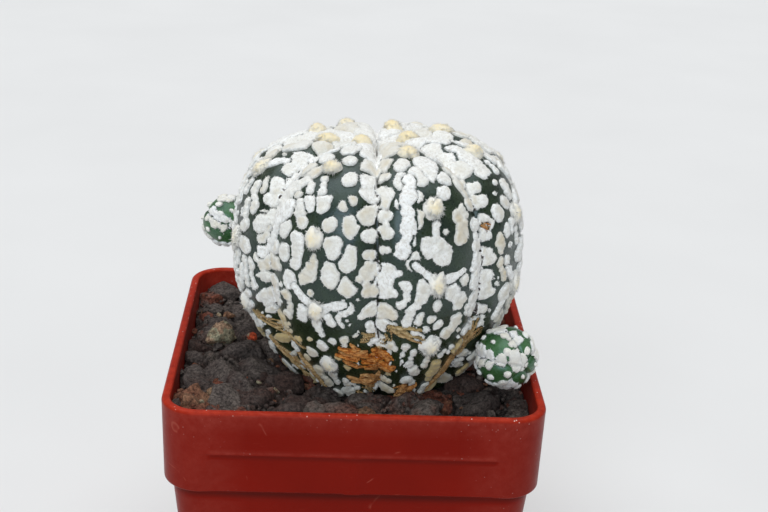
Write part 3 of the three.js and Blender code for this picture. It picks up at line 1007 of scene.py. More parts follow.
def wing_patch(head, spot, reach, draw):
    """A wing of felt that starts in a furrow and points out and down over the rib."""
    scale = head.scale
    point, east, north = spot.point, spot.east, spot.north
    side = math.copysign(1, east @ (point - furrow_foot(head, spot)))
    point = point + north * draw.uniform(-0.5, 0.5) * scale
    reach *= draw.uniform(0.75, 1.2)
    wing = (east * side - north * draw.uniform(-0.2, 0.9)) * scale
    small = spot.seed.down < math.radians(SMALL_WINGS_TO)
    tip = draw.uniform(0.1, 0.7) if small else draw.uniform(1, 2)
    grown = reach * (0.85 if small else 1)
    sites = [point - east * side * 0.6 * scale, point + wing * 0.2, point + wing * tip]
    return Patch(sites, [grown, grown * 0.85, grown * 0.4], spot.seed.rise, spot.tone, "wing")


def fleck_patches(head, spot, reach, draw):
    """An oval fleck, or two smaller ones side by side."""
    point, east, north = spot.point, spot.east, spot.north
    lean = draw.uniform(-0.7, 0.7)
    stretch = head.scale * draw.uniform(0.15, 0.7) * head.fleck_stretch
    away = (north * math.cos(lean) + east * math.sin(lean)) * stretch
    if draw.random() >= head.split_share * (1 - spot.young):
        return [Patch([point + away, point - away], [reach, reach * draw.uniform(0.7, 1)],
                      spot.seed.rise, spot.tone)]
    apart = unit(east + north * draw.uniform(-1, 1)) * 0.72 * head.scale
    small = reach * 0.78
    return [Patch([point + apart + away * 0.5, point + apart - away], [small, small * 0.8],
                  spot.seed.rise, spot.tone),
            Patch([point - apart + away, point - apart - away * 0.5], [small * 0.8, small],
                  spot.seed.rise, spot.tone)]


def furrow_foot(head, spot):
    """The place in the nearest furrow that is level with a spot."""
    edges = furrow_edges(head)
    nearest = edges[np.argmin(np.abs(edges - past_first(edges, spot.seed.around)))]
    return skin_point(head, direction(spot.seed.down, nearest))


def join_patches(head, patches, draw):
    """Grows some neighbours that lie above each other together, up to four in a chain."""
    group = list(range(len(patches)))
    size = [1] * len(patches)
    middles = np.array([np.mean(patch.sites, axis=0) for patch in patches])
    widths = [max(patch.reaches) for patch in patches]
    loose = [i for i, patch in enumerate(patches) if patch.kind != "strip"]
    down = place_of(middles)[0]
    for i in draw.permutation(loose):
        young = bell(down[i], math.radians(CHAINED_TO))
        wing = patches[i].kind == "wing"
        if draw.random() > (WING_SHARE if wing else head.chained_share) + 0.5 * young:
            continue
        span = middles - middles[i]
        distance = lengths(span)
        steep = np.abs(span @ skin_frames(head, *place_of(middles[i]))[2])
        fits = [j for j in loose if 0 < distance[j] < head.fleck_spacing * JOIN_REACH
                and steep[j] > (head.chain_steepness - 0.5 * young) * distance[j]
                and patches[j].kind == patches[i].kind
                and group[j] != group[i]
                and size[group[i]] + size[group[j]] <= MOST_IN_A_CHAIN]
        if not fits:
            continue
        j = min(fits, key=lambda other: distance[other])
        kept, lost = group[i], group[j]
        size[kept] += size[lost]
        patches[kept].sites += [(middles[i] + middles[j]) / 2] + patches[lost].sites
        waist = WAIST * min(widths[i], widths[j])
        patches[kept].reaches += [waist] + patches[lost].reaches
        patches[lost].sites = []
        group = [kept if g == lost else g for g in group]
    return [patch for patch in patches if patch.sites]


def dots_between(head, patches, areoles, draw):
    """Small dots of felt in the wider channels."""
    sites = np.array([site for patch in patches for site in patch.sites] + list(areoles))
    reaches = np.array([reach for patch in patches for reach in patch.reaches] +
                       [head.wool_radius] * len(areoles))
    dots = []
    for _ in range(head.dot_tries):
        down = math.acos(draw.uniform(-0.7, 1))
        point = skin_point(head, direction(down, draw.uniform(0, 2 * math.pi)))
        size = head.scale * draw.uniform(*DOT_SIZE)
        if (lengths(sites - point) - reaches).min() > size + 0.1 * head.scale:
            east = skin_frames(head, *place_of(point))[1]
            dots.append(Patch([point, point + east * size * draw.uniform(-0.7, 0.7)],
                              [size, size * 0.8], head.fleck_rise * draw.uniform(0.6, 1),
                              soiling(head, point, draw)))
            sites = np.vstack([sites, point])
            reaches = np.append(reaches, size)
    return dots


def strip_patch(head, path, reach, tone):
    """One long strip of joined flecks, lobed along its sides."""
    sites = path_points(head, path, 0.3)
    sway = 0.5 * noise(sites, 1.1, 13)[:, None] * np.cross(unit(sites), unit(sites[-1] - sites[0]))
    sites = skin_point(head, unit(sites + sway))
    reaches = reach * (0.85 + 0.5 * noise(sites, 1.0, 3))
    return Patch(list(sites), list(reaches), head.fleck_rise, tone, "strip")


def frayed(head, path, reach, tone, draw):
    """The overlapping flakes of corky skin, or the dried strands, that make up one scar."""
    spine = path_points(head, path, 0.25)
    along = unit(spine[-1] - spine[0])
    side = np.cross(unit(spine[len(spine) // 2]), along)
    if tone < BARK_TONE:
        count, shares, half_widths = FLAKES, FLAKE_SHARE, FLAKE_HALF_WIDTH
    else:
        count, shares, half_widths = STRANDS, STRAND_SHARE, STRAND_HALF_WIDTH
    patches = []
    for _ in range(count):
        share = draw.uniform(*shares)
        first = draw.uniform(0, 1 - share)
        part = spine[int(first * len(spine)):int((first + share) * len(spine)) + 1]
        wander = draw.normal(0, reach * 0.9) + 0.4 * noise(part + draw.uniform(0, 99), 1.6, 5)
        lean = draw.normal(0, 0.3) * np.linspace(-1, 1, len(part))
        sites = skin_point(head, unit(part + side * (wander + lean)[:, None]))
        taper = np.sqrt(np.sin(math.pi * np.linspace(0.12, 0.88, len(part))))
        reaches = draw.uniform(*half_widths) * taper
        rise = head.fleck_rise * draw.uniform(0.5, 1.7)
        shade = float(np.clip(tone + draw.normal(0, 0.16), 0, 1))
        patches.append(Patch(list(sites), list(reaches), rise, shade, "strip"))
    return patches


def patch_grid(head, patch):
    """A fine grid of points on the skin that covers a patch, as two triangles a cell."""
    middle = np.mean(patch.sites, axis=0)
    down, around = place_of(middle)
    point, east, north, out = skin_frames(head, down, around)
    sites = np.array(patch.sites)
    sites = sites * ((point @ out) / (sites @ out))[:, None]
    flat = (sites - point) @ np.stack([east, north], -1)
    widest = max(patch.reaches)
    margin = widest * 1.15 + 0.12
    step = min(head.mesh_step, widest * 0.75)
    low, high = flat.min(0) - margin, flat.max(0) + margin
    counts = np.ceil((high - low) / step).astype(int) + 1
    x = np.linspace(low[0], high[0], counts[0])
    y = np.linspace(low[1], high[1], counts[1])
    spots = point + x[:, None, None] * east + y[None, :, None] * north
    points = skin_point(head, unit(spots.reshape(-1, 3)))
    corner = (np.arange(counts[0] - 1)[:, None] * counts[1] + np.arange(counts[1] - 1)).ravel()
    across = corner + counts[1]
    swap = ((corner // counts[1] + corner % counts[1]) % 2 == 0)[:, None]
    first = np.where(swap, np.stack([corner, across, across + 1], -1),
                     np.stack([corner, across, corner + 1], -1))
    second = np.where(swap, np.stack([corner, across + 1, corner + 1], -1),
                      np.stack([across, across + 1, corner + 1], -1))
    return points, np.concatenate([first, second])


class Crowd:
    """All the patches, areoles and bare spots of a head, which share out its skin."""

    def __init__(self, head, patches, areoles, bare):
        self.head = head
        self.patches = patches
        self.areoles = areoles
        loose = [(site, i) for i, p in enumerate(patches) if p.kind != "strip" for site in p.sites]
        strips = [patch for patch in patches if patch.kind == "strip"]
        self.sites = np.array([site for site, _ in loose] + list(bare))
        self.owners = np.array([i for _, i in loose] + [-1] * len(bare))
        self.strip_sites = np.array([site for p in strips for site in p.sites]).reshape(-1, 3)
        self.strip_reach = np.array([reach for p in strips for reach in p.reaches])

    def gap(self, points):
        """Half the bare gap between neighbours: wide in places, nearly none on the crown."""
        head = self.head
        down = place_of(points)[0]
        gap = HALF_GAP + 0.2 * noise(points, 3.4 * head.scale, 61)
        seam = bell(furrow_distance(head, points), 1.1 * head.scale)
        gap = gap + seam * (0.12 * noise(points, 0.9 * head.scale, 67) - gap)
        return (gap - CROWN_OVERLAP * near_crown(down)) * head.scale

    def field(self, number, points):
        """The field of one patch, and the waists inside it."""
        patch = self.patches[number]
        scale = self.head.scale
        middle = points.mean(0)
        size = lengths(points - middle).max() + 3.2 * scale
        own = spans(points, np.array(patch.sites))
        nearest = own.min(1)
        seam = bell(furrow_distance(self.head, points), 0.5 * scale)
        ragged = scale * (0.1 * noise(points, 0.6 * scale, 71) +
                          0.09 * noise(points, 0.28 * scale, 73)) * (1 + seam)
        ragged = ragged * self.head.raggedness
        field = (np.array(patch.reaches) - own).max(1)
        if patch.kind == "strip":
            return field + 1.6 * ragged * min(1, max(patch.reaches)), np.zeros(len(points))
        field = field + ragged
        gap = self.gap(points)
        near = lengths(self.sites - middle) < size
        others = self.sites[near & (self.owners != number)]
        if len(others):
            hard = 9.0 / scale
            span = spans(points, others)
            other = -np.log(np.exp(-hard * span).sum(1)) / hard
            sway = furrow_sway(self.head, points) * bell(furrow_distance(self.head, points), scale)
            sway = sway * furrow_side(self.head, middle)
            field = np.minimum(field, (other - nearest) / 2 - gap + ragged + sway)
        near = lengths(self.strip_sites - middle) < size
        if near.any():
            span = spans(points, self.strip_sites[near])
            field = np.minimum(field, (span - self.strip_reach[near]).min(1) - gap + ragged)
        span = spans(points, self.areoles).min(1)
        field = np.minimum(field, span - self.head.wool_radius * 0.5)
        if own.shape[1] < 4:
            return field, np.zeros(len(points))
        own.sort(axis=1)
        return field, bell(own[:, 1] - nearest, 0.25 * scale)


def rolled(triangles, inside, flag):
    """Triangles turned so that their one corner that is inside, or outside, comes first."""
    first = (inside[triangles] == flag).argmax(1)
    order = (first[:, None] + np.arange(3)) % 3
    return np.take_along_axis(triangles, order, 1)


def felt_out(head, points):
    """The way that felt rises: away from the skin, and straight out of the furrows."""
    out = skin_frames(head, *place_of(points))[3]
    share = bell(furrow_distance(head, points), 0.9 * head.scale)[:, None]
    return unit(out * (1 - share) + unit(points) * share)


def raise_felt(build, head, points, field, rises, tones, triangles, sunk):
    """Adds the part of the grids inside the contour, raised, with walls down to the skin.

    Returns the start, the run, the outward direction, the normal and the tone of each
    piece of the contour.
    """
    inside = field > 0
    out = felt_out(head, points)
    many = inside[triangles].sum(1)
    one = rolled(triangles[many == 1], inside, True)
    two = rolled(triangles[many == 2], inside, False)
    ends = np.concatenate([one[:, :2], one[:, [0, 2]], two[:, :2], two[:, [0, 2]]])
    keys, index = np.unique(np.sort(ends, axis=1), axis=0, return_inverse=True)
    index = index.ravel() + len(points)
    a, b, c, d = np.split(index, np.cumsum([len(one), len(one), len(two)]))
    share = (field[keys[:, 0]] / (field[keys[:, 0]] - field[keys[:, 1]]))[:, None]

    def blend(values):
        return values[keys[:, 0]] + share * (values[keys[:, 1]] - values[keys[:, 0]])

    edge = blend(points) + blend(out) * 0.3 * head.fleck_rise
    low = blend(points) - blend(out) * sunk
    edge_tones = blend(tones[:, None])[:, 0]
    shape = np.concatenate([points + out * rises[:, None], edge, low])
    tones = np.concatenate([tones, edge_tones, edge_tones])
    starts = np.concatenate([a, d])
    stops = np.concatenate([b, c])
    shift = len(keys)
    faces = np.concatenate([
        triangles[many == 3],
        np.stack([one[:, 0], a, b], -1),
        np.stack([c, two[:, 1], two[:, 2]], -1),
        np.stack([c, two[:, 2], d], -1),
        np.stack([stops, starts, starts + shift], -1),
        np.stack([stops, starts + shift, stops + shift], -1),
    ])
    used, faces = np.unique(faces, return_inverse=True)
    build.add(to_plant(head, shape[used]), faces.reshape(-1, 3), tones[used])
    along = shape[stops] - shape[starts]
    normal = blend(out)[starts - len(points)]
    outwards = np.cross(along, normal)
    solid = lengths(outwards) > 1e-6
    return (shape[starts][solid], along[solid], unit(outwards[solid]), normal[solid],
            tones[starts][solid])


def fringe_hairs(build, head, contour, step, draw):
    """The felt's torn edge: fine tapering tufts that stick out all along it."""
    start, along, outwards, normal, tones = contour
    length = lengths(along)
    count = draw.poisson(length / step)
    pick = np.repeat(np.arange(len(start)), count)
    scale = head.scale
    spot = start[pick] + along[pick] * draw.random((len(pick), 1))
    spot = spot + normal[pick] * head.fleck_rise * draw.uniform(-0.2, 0.4, (len(pick), 1))
    aim = outwards[pick] + unit(along[pick]) * draw.normal(0, 0.3, (len(pick), 1))
    aim = unit(aim + normal[pick] * draw.uniform(-0.25, 0.3, (len(pick), 1)))
    reach = scale * draw.uniform(*HAIR_REACH, (len(pick), 1)) * head.raggedness
    tone = np.minimum(tones[pick], 0.8)
    spikes(build, to_plant(head, spot - aim * 0.15 * scale), to_plant(head, spot + aim * reach),
           HAIR_RADIUS * scale, tone, tone * 0.7)


def stays_bare(seed):
    """Bare spots keep the felt away, but not on the crown, where it has fused."""
    return seed.kind == "bare" and seed.down > math.radians(FUSED_TO)


def felt_pieces(head, seeds, draw, material, scar_material):
    """All the felt of one head, in sectors, with its fringe and its corky scars."""
    areoles = np.array([seed.point for seed in seeds if seed.kind == "areole"])
    bare = [seed.point for seed in seeds if stays_bare(seed)]
    grown = [seed for seed in seeds if seed.kind != "areole" and not stays_bare(seed)]
    patches = [patch for seed in grown for patch in patches_of(head, seed, areoles, draw)]
    patches = join_patches(head, patches, draw)
    patches += dots_between(head, patches, areoles, draw)
    patches += [strip_patch(head, *strip) for strip in head.strips]
    scars = [flake for scar in head.scars for flake in frayed(head, *scar, draw)]
    crowd = Crowd(head, patches + scars, areoles, bare)
    sectors = head.sectors
    batches = [[] for _ in range(sectors + 1)]
    for number, patch in enumerate(crowd.patches):
        around = place_of(np.mean(patch.sites, axis=0))[1]
        turn = int((around / (2 * math.pi) + 0.5 + 0.5 / sectors) * sectors) % sectors
        batches[sectors if number >= len(patches) else turn].append(number)
    fringe = Build()
    pieces = []
    for sector, batch in enumerate(batches):
        if not batch:
            continue
        build = Build()
        blocks = [patch_block(crowd, number) for number in batch]
        contour = raise_felt(build, head, *joined(blocks), 0.3 * head.scale)
        if sector == sectors:
            pieces.append(build.object(head.name + "_scars", scar_material))
        else:
            pieces.append(build.object(head.name + f"_felt_{sector}", material))
            fringe_hairs(fringe, head, contour, HAIR_STEP * head.scale ** 0.5, draw)
    pieces.append(fringe.object(head.name + "_fringe", material))
    return pieces


def patch_block(crowd, number):
    """The grid of one patch with its field, rises and tones."""
    head = crowd.head
    patch = crowd.patches[number]
    points, triangles = patch_grid(head, patch)
    field, waist = crowd.field(number, points)
    scale = head.scale
    round_off = np.clip(field / (0.38 * scale), 0, 1)
    dome = np.sqrt(1 - (1 - round_off) ** 2)
    down = place_of(points)[0]
    if patch.kind == "strip":
        lumps = 0.2 * fractal(points, 0.7 * scale, 31, 2)
        tone = np.full(len(points), patch.tone)
    else:
        lumps = 0.09 * noise(points, 0.85 * scale, 31) + 0.09 * noise(points, 0.34 * scale, 37)
        # Cream in the middle of each fleck, less on the crown: partly the felt's own cream, and
        # partly painted shade that leaves the rim lighter, as if its fringe caught the light.
        cream = CREAM_AND_RIM_LIGHT * round_off * (1 - 0.8 * near_crown(down))
        cream = cream * (0.6 + 0.6 * noise(points, 1.2 * scale, 43))
        offset = furrow_side(head, points) * furrow_distance(head, points)
        seam = bell(offset + furrow_sway(head, points), 0.24 * scale)
        dirt = seam * smoothstep(noise(points, 0.42 * scale, 83), -0.1, 0.2)
        dirt = dirt * smoothstep(down, *SEAM_STARTS)
        tone = (patch.tone + cream) * (1 - dirt) - dirt
    filled = 0.22 * scale * bell(furrow_distance(head, points), 0.5 * scale)
    rise = patch.rise * (0.3 + 0.7 * dome) + dome * scale * (lumps - 0.15 * waist) + filled
    return points, field, rise, tone, triangles


def joined(blocks):
    points, field, rise, tone, triangles = zip(*blocks)
    shift = np.cumsum([0] + [len(p) for p in points[:-1]])
    triangles = np.concatenate([block + first for block, first in zip(triangles, shift)])
    return (np.concatenate(points), np.concatenate(field), np.concatenate(rise),
            np.concatenate(tone), triangles)


@dataclass
class Tuft:
    """One mound of wool: where it stands, and how wide, tall, high and old it is."""
    point: np.ndarray
    east: np.ndarray
    north: np.ndarray
    out: np.ndarray
    wide: float
    tall: float
    high: float
    young: float
    leaning: np.ndarray
    warmth: float

    @property
    def pale(self):
        return 0.9 - 0.65 * self.young

    def spread(self, turn):
        """Points round the oval of its foot, as steps from its middle."""
        return (np.outer(np.cos(turn) * self.wide, self.east) +
                np.outer(np.sin(turn) * self.tall, self.north))


def wool_piece(head, seeds, draw, material):
    """A woolly mound on each areole: an oval lumpy core under short matted hairs."""
    build = Build()
    size = head.wool_radius
    for seed in seeds:
        if seed.kind != "areole":
            continue
        point, east, north, out = skin_frames(head, max(seed.down, 0.02), seed.around)
        young = bell(seed.down, math.radians(WOOL_YOUNG_TO))
        wide = size * draw.uniform(*head.wool_spread) * (0.86 + 0.2 * young)
        tall = wide * (draw.uniform(*WOOL_OVAL) - 0.2 * young)
        high = size * (draw.uniform(*WOOL_HEIGHT) + 0.25 * young)
        leaning = draw.normal(0, 0.12) * east
        leaning = leaning - draw.uniform(*WOOL_LEAN) * (1 - young) * north
        warmth = 0.36 * (1 - young) - 0.3 * soiling(head, point, draw)
        tuft = Tuft(point, east, north, out, wide, tall, high, young, leaning, warmth)
        wool_core(build, head, tuft)
        wool_hairs(build, head, tuft, int(head.hairs * wide / size), draw)
    return build.object(head.name + "_wool", material)


def wool_core(build, head, tuft, sides=18, rings=7):
    """The lumpy mound that the hairs of a tuft stand on."""
    angle = np.arange(sides) * 2 * math.pi / sides
    shape = []
    for ring in range(rings):
        part = ring / (rings - 0.5)
        lift = math.sin(part * math.pi / 2) * tuft.high - 0.25 * (ring == 0)
        lumpy = noise(tuft.point + tuft.spread(angle) + 2 * part, 0.8 * head.scale, 41)
        lumpy = 1 + (0.45 - 0.2 * tuft.young) * lumpy
        flat = tuft.spread(angle) * (math.cos(part * math.pi / 2) * lumpy)[:, None]
        shape.append(tuft.point + lift * (tuft.leaning + tuft.out) + flat)
    top = tuft.point + tuft.high * (tuft.out + tuft.leaning)
    first = build.count
    tones = np.append(np.repeat(np.linspace(tuft.pale, tuft.warmth, rings), sides), tuft.warmth)
    build.add(to_plant(head, np.vstack(shape + [top[None]])), ring_faces(rings, sides), tones)
    last = (rings - 1) * sides
    build.faces.append(cap_faces(last, sides, last + sides, True) + first)


def wool_hairs(build, head, tuft, count, draw):
    """Short matted hairs all over a tuft: longest and palest round its lower edge."""
    young = tuft.young
    lift = draw.uniform(-0.1, 1, count)
    level = np.sqrt(1 - lift ** 2)[:, None]
    turn = draw.uniform(0, 2 * math.pi, count)
    base = (tuft.point + tuft.spread(turn) * level * 0.9 +
            (lift * tuft.high)[:, None] * (0.86 * tuft.out + tuft.leaning))
    aim = unit(tuft.spread(turn)) * level + tuft.out * (0.3 + 0.8 * young) * lift[:, None]
    aim = unit(aim + draw.normal(0, 0.4, (count, 3)) - (0.4 - 0.4 * young) * tuft.north)
    low = np.clip(-np.sin(turn), 0, 1)[:, None] * level
    size = head.wool_radius
    length = size * draw.uniform(*WOOL_HAIR, (count, 1)) * (1 + 0.5 * low) * (1 - 0.4 * young)
    tone = tuft.warmth + (tuft.pale - tuft.warmth) * level[:, 0] ** 2
    tone = tone + draw.normal(0, 0.15, count)
    spikes(build, to_plant(head, base), to_plant(head, base + aim * length),
           WOOL_HAIR_RADIUS * size,
           np.clip(tone, 0, 1), np.clip(tone + 0.5, 0, 1))


# Soil

def soil_depth(x, y):
    front_left = bell(x + RIM_HALF, SOIL_RISE_WIDTH) * bell(y + RIM_HALF, SOIL_RISE_DEPTH)
    return (SOIL_TOP - SOIL_FRONT_LEFT_RISE * front_left +
            SOIL_RIGHT_DROP * smoothstep(x, *SOIL_DROP_SPAN))


def soil_height(x, y):
    return POT_HEIGHT - float(soil_depth(x, y))


def grain_places():
    draw = seeded_random(GRAIN_SEED)
    half = RIM_HALF - WALL - GRAIN_MARGIN
    places = []
    for _ in range(GRAIN_TRIES):
        x = half * (2 * draw() - 1)
        y = half * (2 * draw() - 1)
        clear = all(math.hypot(x - a, y - b) >= GRAIN_SPACING for a, b in places)
        if clear and plant_distance(x, y) > PLANT_CLEARANCE:
            places.append((x, y))
    return places


def plant_distance(x, y):
    return math.hypot(x - HEAD.centre.x, y - HEAD.centre.y)


def ball(level):
    """The vertices and faces of an even ball."""
    even = bmesh.new()
    bmesh.ops.create_icosphere(even, subdivisions=level, radius=1)
    points = np.array([v.co for v in even.verts])
    faces = np.array([[v.index for v in f.verts] for f in even.faces])
    even.free()
    return points, faces


def keep_inside(points, gap):
    """Moves points that stray into the pot's wall back inside it."""
    half = RIM_HALF - WALL - gap - COLLAR_DRAFT * (POT_HEIGHT - points[:, 2]) / COLLAR_HEIGHT
    corner = RIM_CORNER - WALL
    flat = np.clip(points[:, :2], -half[:, None], half[:, None])
    past = np.abs(flat) - (half - corner)[:, None]
    both = (past > 0).all(1)
    span = lengths(past)
    scale = np.where(both & (span > corner), corner / np.maximum(span, 1e-6), 1)[:, None]
    pulled = np.sign(flat) * ((half - corner)[:, None] + past * scale)
    points[:, :2] = np.where(both[:, None], pulled, flat)
    return points


def add_grain(build, shape, spot, size, tone, draw, upright=False):
    """One angular, pitted grain of lava or pumice."""
    points, faces = shape
    number = int(draw.integers(1, 9000))
    facets = unit(draw.normal(0, 1, (8, 3)))
    reach = 1 / np.maximum((points @ facets.T) / draw.uniform(0.6, 0.98, 8), 0.6).max(1)
    reach = np.minimum(reach, 1.3) + 0.14 * fractal(points, 0.7, number, 4)
    if len(points) > 200:
        reach = reach - 0.12 * (1 - smoothstep(pits(points, 0.35, number), 0.1, 0.5))
    stretch = np.array([1.0, draw.uniform(0.6, 1.0), draw.uniform(0.5, 0.85)])
    if upright:
        stretch = stretch[::-1]
    spin = Matrix.Rotation(draw.uniform(0, 6.28), 3, "Z") @ Matrix.Rotation(
        draw.uniform(-0.6, 0.6), 3, "X")
    solid = (points * reach[:, None] * stretch * size) @ np.array(spin).T + np.array(spot)
    shade = 0.1 * fractal(points, 0.7, number + 5, 3)
    most = 1 if tone == RED_TONE else 0.86
    build.add(keep_inside(solid, 0.1), faces, np.clip(tone + shade, 0, most))


def soil_bed():
    """The rough surface of the fine grit, on a plain block that fills the pot."""
    build = Build()
    half = RIM_HALF - WALL - 0.15
    side = BED_COLUMNS
    line = np.linspace(-half, half, side)
    x, y = np.meshgrid(line, line, indexing="ij")
    flat = np.stack([x, y, 0 * x], -1)
    depth = soil_depth(x, y) + SOIL_BED_DEPTH - 1.0 * fractal(flat, 2.6, 51, 5)
    top = np.stack([x, y, POT_HEIGHT - depth], -1).reshape(-1, 3)
    top = keep_inside(top, 0.15)
    low = (np.arange(side - 1)[:, None] * side + np.arange(side - 1)[None, :]).ravel()
    build.add(top, np.stack([low, low + side, low + side + 1, low + 1], -1),
              np.clip(0.12 + 0.2 * fractal(flat, 1.6, 57, 2), 0, 1).ravel())
    edge = np.arange(side)
    rim = np.concatenate([edge * side, side * (side - 1) + edge[1:],
                          (side * edge + side - 1)[-2::-1], edge[-2:0:-1]])
    foot = POT_HEIGHT - COLLAR_HEIGHT
    neck = RIM_HALF - COLLAR_DRAFT - COLLAR_STEP - WALL - FIT_GAP
    levels = [(half - COLLAR_DRAFT, foot + SHOULDER + COLLAR_STEP + FIT_GAP / 2),
              (neck, foot + SHOULDER + FIT_GAP / 2),
              (BASE_HALF - WALL - FIT_GAP, FLOOR + FIT_GAP)]
    ring = rim
    for reach, z in levels:
        first = build.count
        build.add(top[rim] * [reach / half, reach / half, 0] + [0, 0, z], np.empty((0, 3)), 0.1)
        lower = first + np.arange(len(rim))
        build.faces.append(np.stack([ring, lower, np.roll(lower, -1), np.roll(ring, -1)], -1))
        ring = lower
    build.faces.append(ring[None, ::-1])
    return build


def soil_pieces(material):
    """The bed with its loose grains and crumbs, and the large lumps that stand out of it."""
    draw = np.random.default_rng(SOIL_SEED)
    bed = soil_bed()
    lumps = Build()
    half = RIM_HALF - WALL - 0.4
    fine, coarse, crumb = ball(4), ball(2), ball(1)
    for _ in range(LOOSE_GRAINS):
        x, y = draw.uniform(-half, half, 2)
        if plant_distance(x, y) < LOOSE_GRAIN_CLEARANCE:
            continue
        size = 0.35 + 1.2 * draw.random() ** 3
        tone = float(np.clip(abs(draw.normal(0, 0.4)), 0, PALE_TONE))
        add_grain(bed, coarse, (x, y, soil_height(x, y) - 1.0 + draw.uniform(0, 1.0)), size,
                  tone, draw)
    for x, y in grain_places():
        size = draw.uniform(*GRAIN_RADIUS)
        tone = float(np.clip(abs(draw.normal(0, 0.3)), 0, 0.7))
        z = soil_height(x, y) - size * 0.42
        add_grain(lumps, fine, (x, y, z), size, tone, draw)
        for _ in range(CRUMBS_A_LUMP):
            lift = draw.uniform(0.1, 1)
            turn = draw.uniform(0, 2 * math.pi)
            level = size * 0.85 * math.sqrt(1 - lift ** 2)
            spot = (x + level * math.cos(turn), y + level * math.sin(turn), z + lift * size * 0.62)
            add_grain(bed, crumb, spot, draw.uniform(*CRUMB_SIZE), tone, draw)
    for (x, y), size, tone in ((RED_CHIP, 1.1, RED_TONE), (PALE_GRAIN, 2.1, PALE_TONE)):
        z = soil_height(x, y) + size * 0.8
        add_grain(lumps, fine, (x, y, z), size, tone, draw, upright=True)
    return bed.object("soil_bed", material, False), lumps.object("soil_lumps", material)


# Pot

def side_stops():
    """Places along half a side, as shares of its straight part, that edge the recess."""
    inner = RIM_HALF - RIM_CORNER
    edges = [width / 2 + step for width in (RECESS_WIDTH, TAB_WIDTH)
             for step in (RECESS_EASE, -RECESS_EASE)]
    between = [15, 10, 5]
    right = sorted(edges + between, reverse=True)
    return np.array(right + [-stop for stop in reversed(right)]) / inner


def square_ring(half, corner, z, steps=14):
    """A level rounded square, with its straight sides divided at the recess's edges."""
    ring = []
    inner = half - corner
    stops = side_stops()
    for side in range(4):
        turn = side * math.pi / 2
        along = np.array((math.cos(turn), math.sin(turn)))
        out = np.array((-math.sin(turn), math.cos(turn)))
        for step in range(steps + 1):
            angle = step / steps * math.pi / 2
            ring.append(along * (inner + corner * math.cos(angle)) +
                        out * (inner + corner * math.sin(angle)))
        ring += [along * inner * stop + out * half for stop in stops]
    return np.array([(x, y, z) for x, y in ring])


def press_recess(shape, foot, top):
    """Presses the shallow recess into the lower part of each collar face, beside its tab.

    Returns the painted light along the recess's edge: a painted highlight along its upper edge, and
    painted shade in the corner below that.
    """
    height = shape[..., 2]
    wear_and_painted_light = np.zeros(height.shape)
    level = smoothstep(height, foot - 0.05, foot + 0.1)
    level = level * (1 - smoothstep(height, top - 0.03, top + 0.03))
    rounding = 0.5 * np.exp(-np.abs(height - top) / RECESS_ROUNDING)
    for axis in (0, 1):
        face = np.abs(shape[..., axis])
        along = np.abs(shape[..., 1 - axis])
        outer = face > RIM_HALF - COLLAR_DRAFT - 0.7
        beyond = smoothstep(along, RECESS_WIDTH / 2 - RECESS_EASE, RECESS_WIDTH / 2 + RECESS_EASE)
        past_tab = smoothstep(along, TAB_WIDTH / 2 - RECESS_EASE, TAB_WIDTH / 2 + RECESS_EASE)
        pressed = RECESS_DEPTH * (level * past_tab - rounding) * (1 - beyond) * outer
        shape[..., axis] -= np.sign(shape[..., axis]) * pressed
        # Painted light: a lighter band just above the recess's ledge, and painted shade just below
        # it.
        painted_edge_light = 0.3 * bell(height - top - 0.3, 0.3) - 0.5 * bell(height - top + 0.35, 0.35)
        wear_and_painted_light += painted_edge_light * (1 - beyond) * outer
    return wear_and_painted_light


def drain_rings(z, sides=28):
    turn = np.arange(sides) * 2 * math.pi / sides
    circle = np.stack([np.cos(turn), np.sin(turn)], -1) * DRAIN_RADIUS
    return [np.column_stack([circle + [x, y], np.full(sides, z)])
            for x in (-DRAIN_OFFSET, DRAIN_OFFSET) for y in (-DRAIN_OFFSET, DRAIN_OFFSET)]


def holed_face(build, ring, holes, upwards):
    """A level face inside a ring, with round holes left out."""
    loops = [ring] + holes
    points = np.concatenate(loops)
    edges = []
    first = 0
    for loop in loops:
        edges += [(first + i, first + (i + 1) % len(loop)) for i in range(len(loop))]
        first += len(loop)
    flat = [Vector(point[:2]) for point in points]
    spots, _, faces, _, _, _ = delaunay_2d_cdt(flat, edges, [], 1, 1e-6)
    spots = np.array([tuple(spot) for spot in spots])
    faces = np.array(faces)
    middles = spots[faces].mean(1)
    solid = np.all([lengths(middles - hole[:, :2].mean(0)) > DRAIN_RADIUS * 0.99
                    for hole in holes], axis=0)
    faces = faces[solid] if upwards else faces[solid][:, ::-1]
    build.add(np.column_stack([spots, np.full(len(spots), ring[0, 2])]), faces)


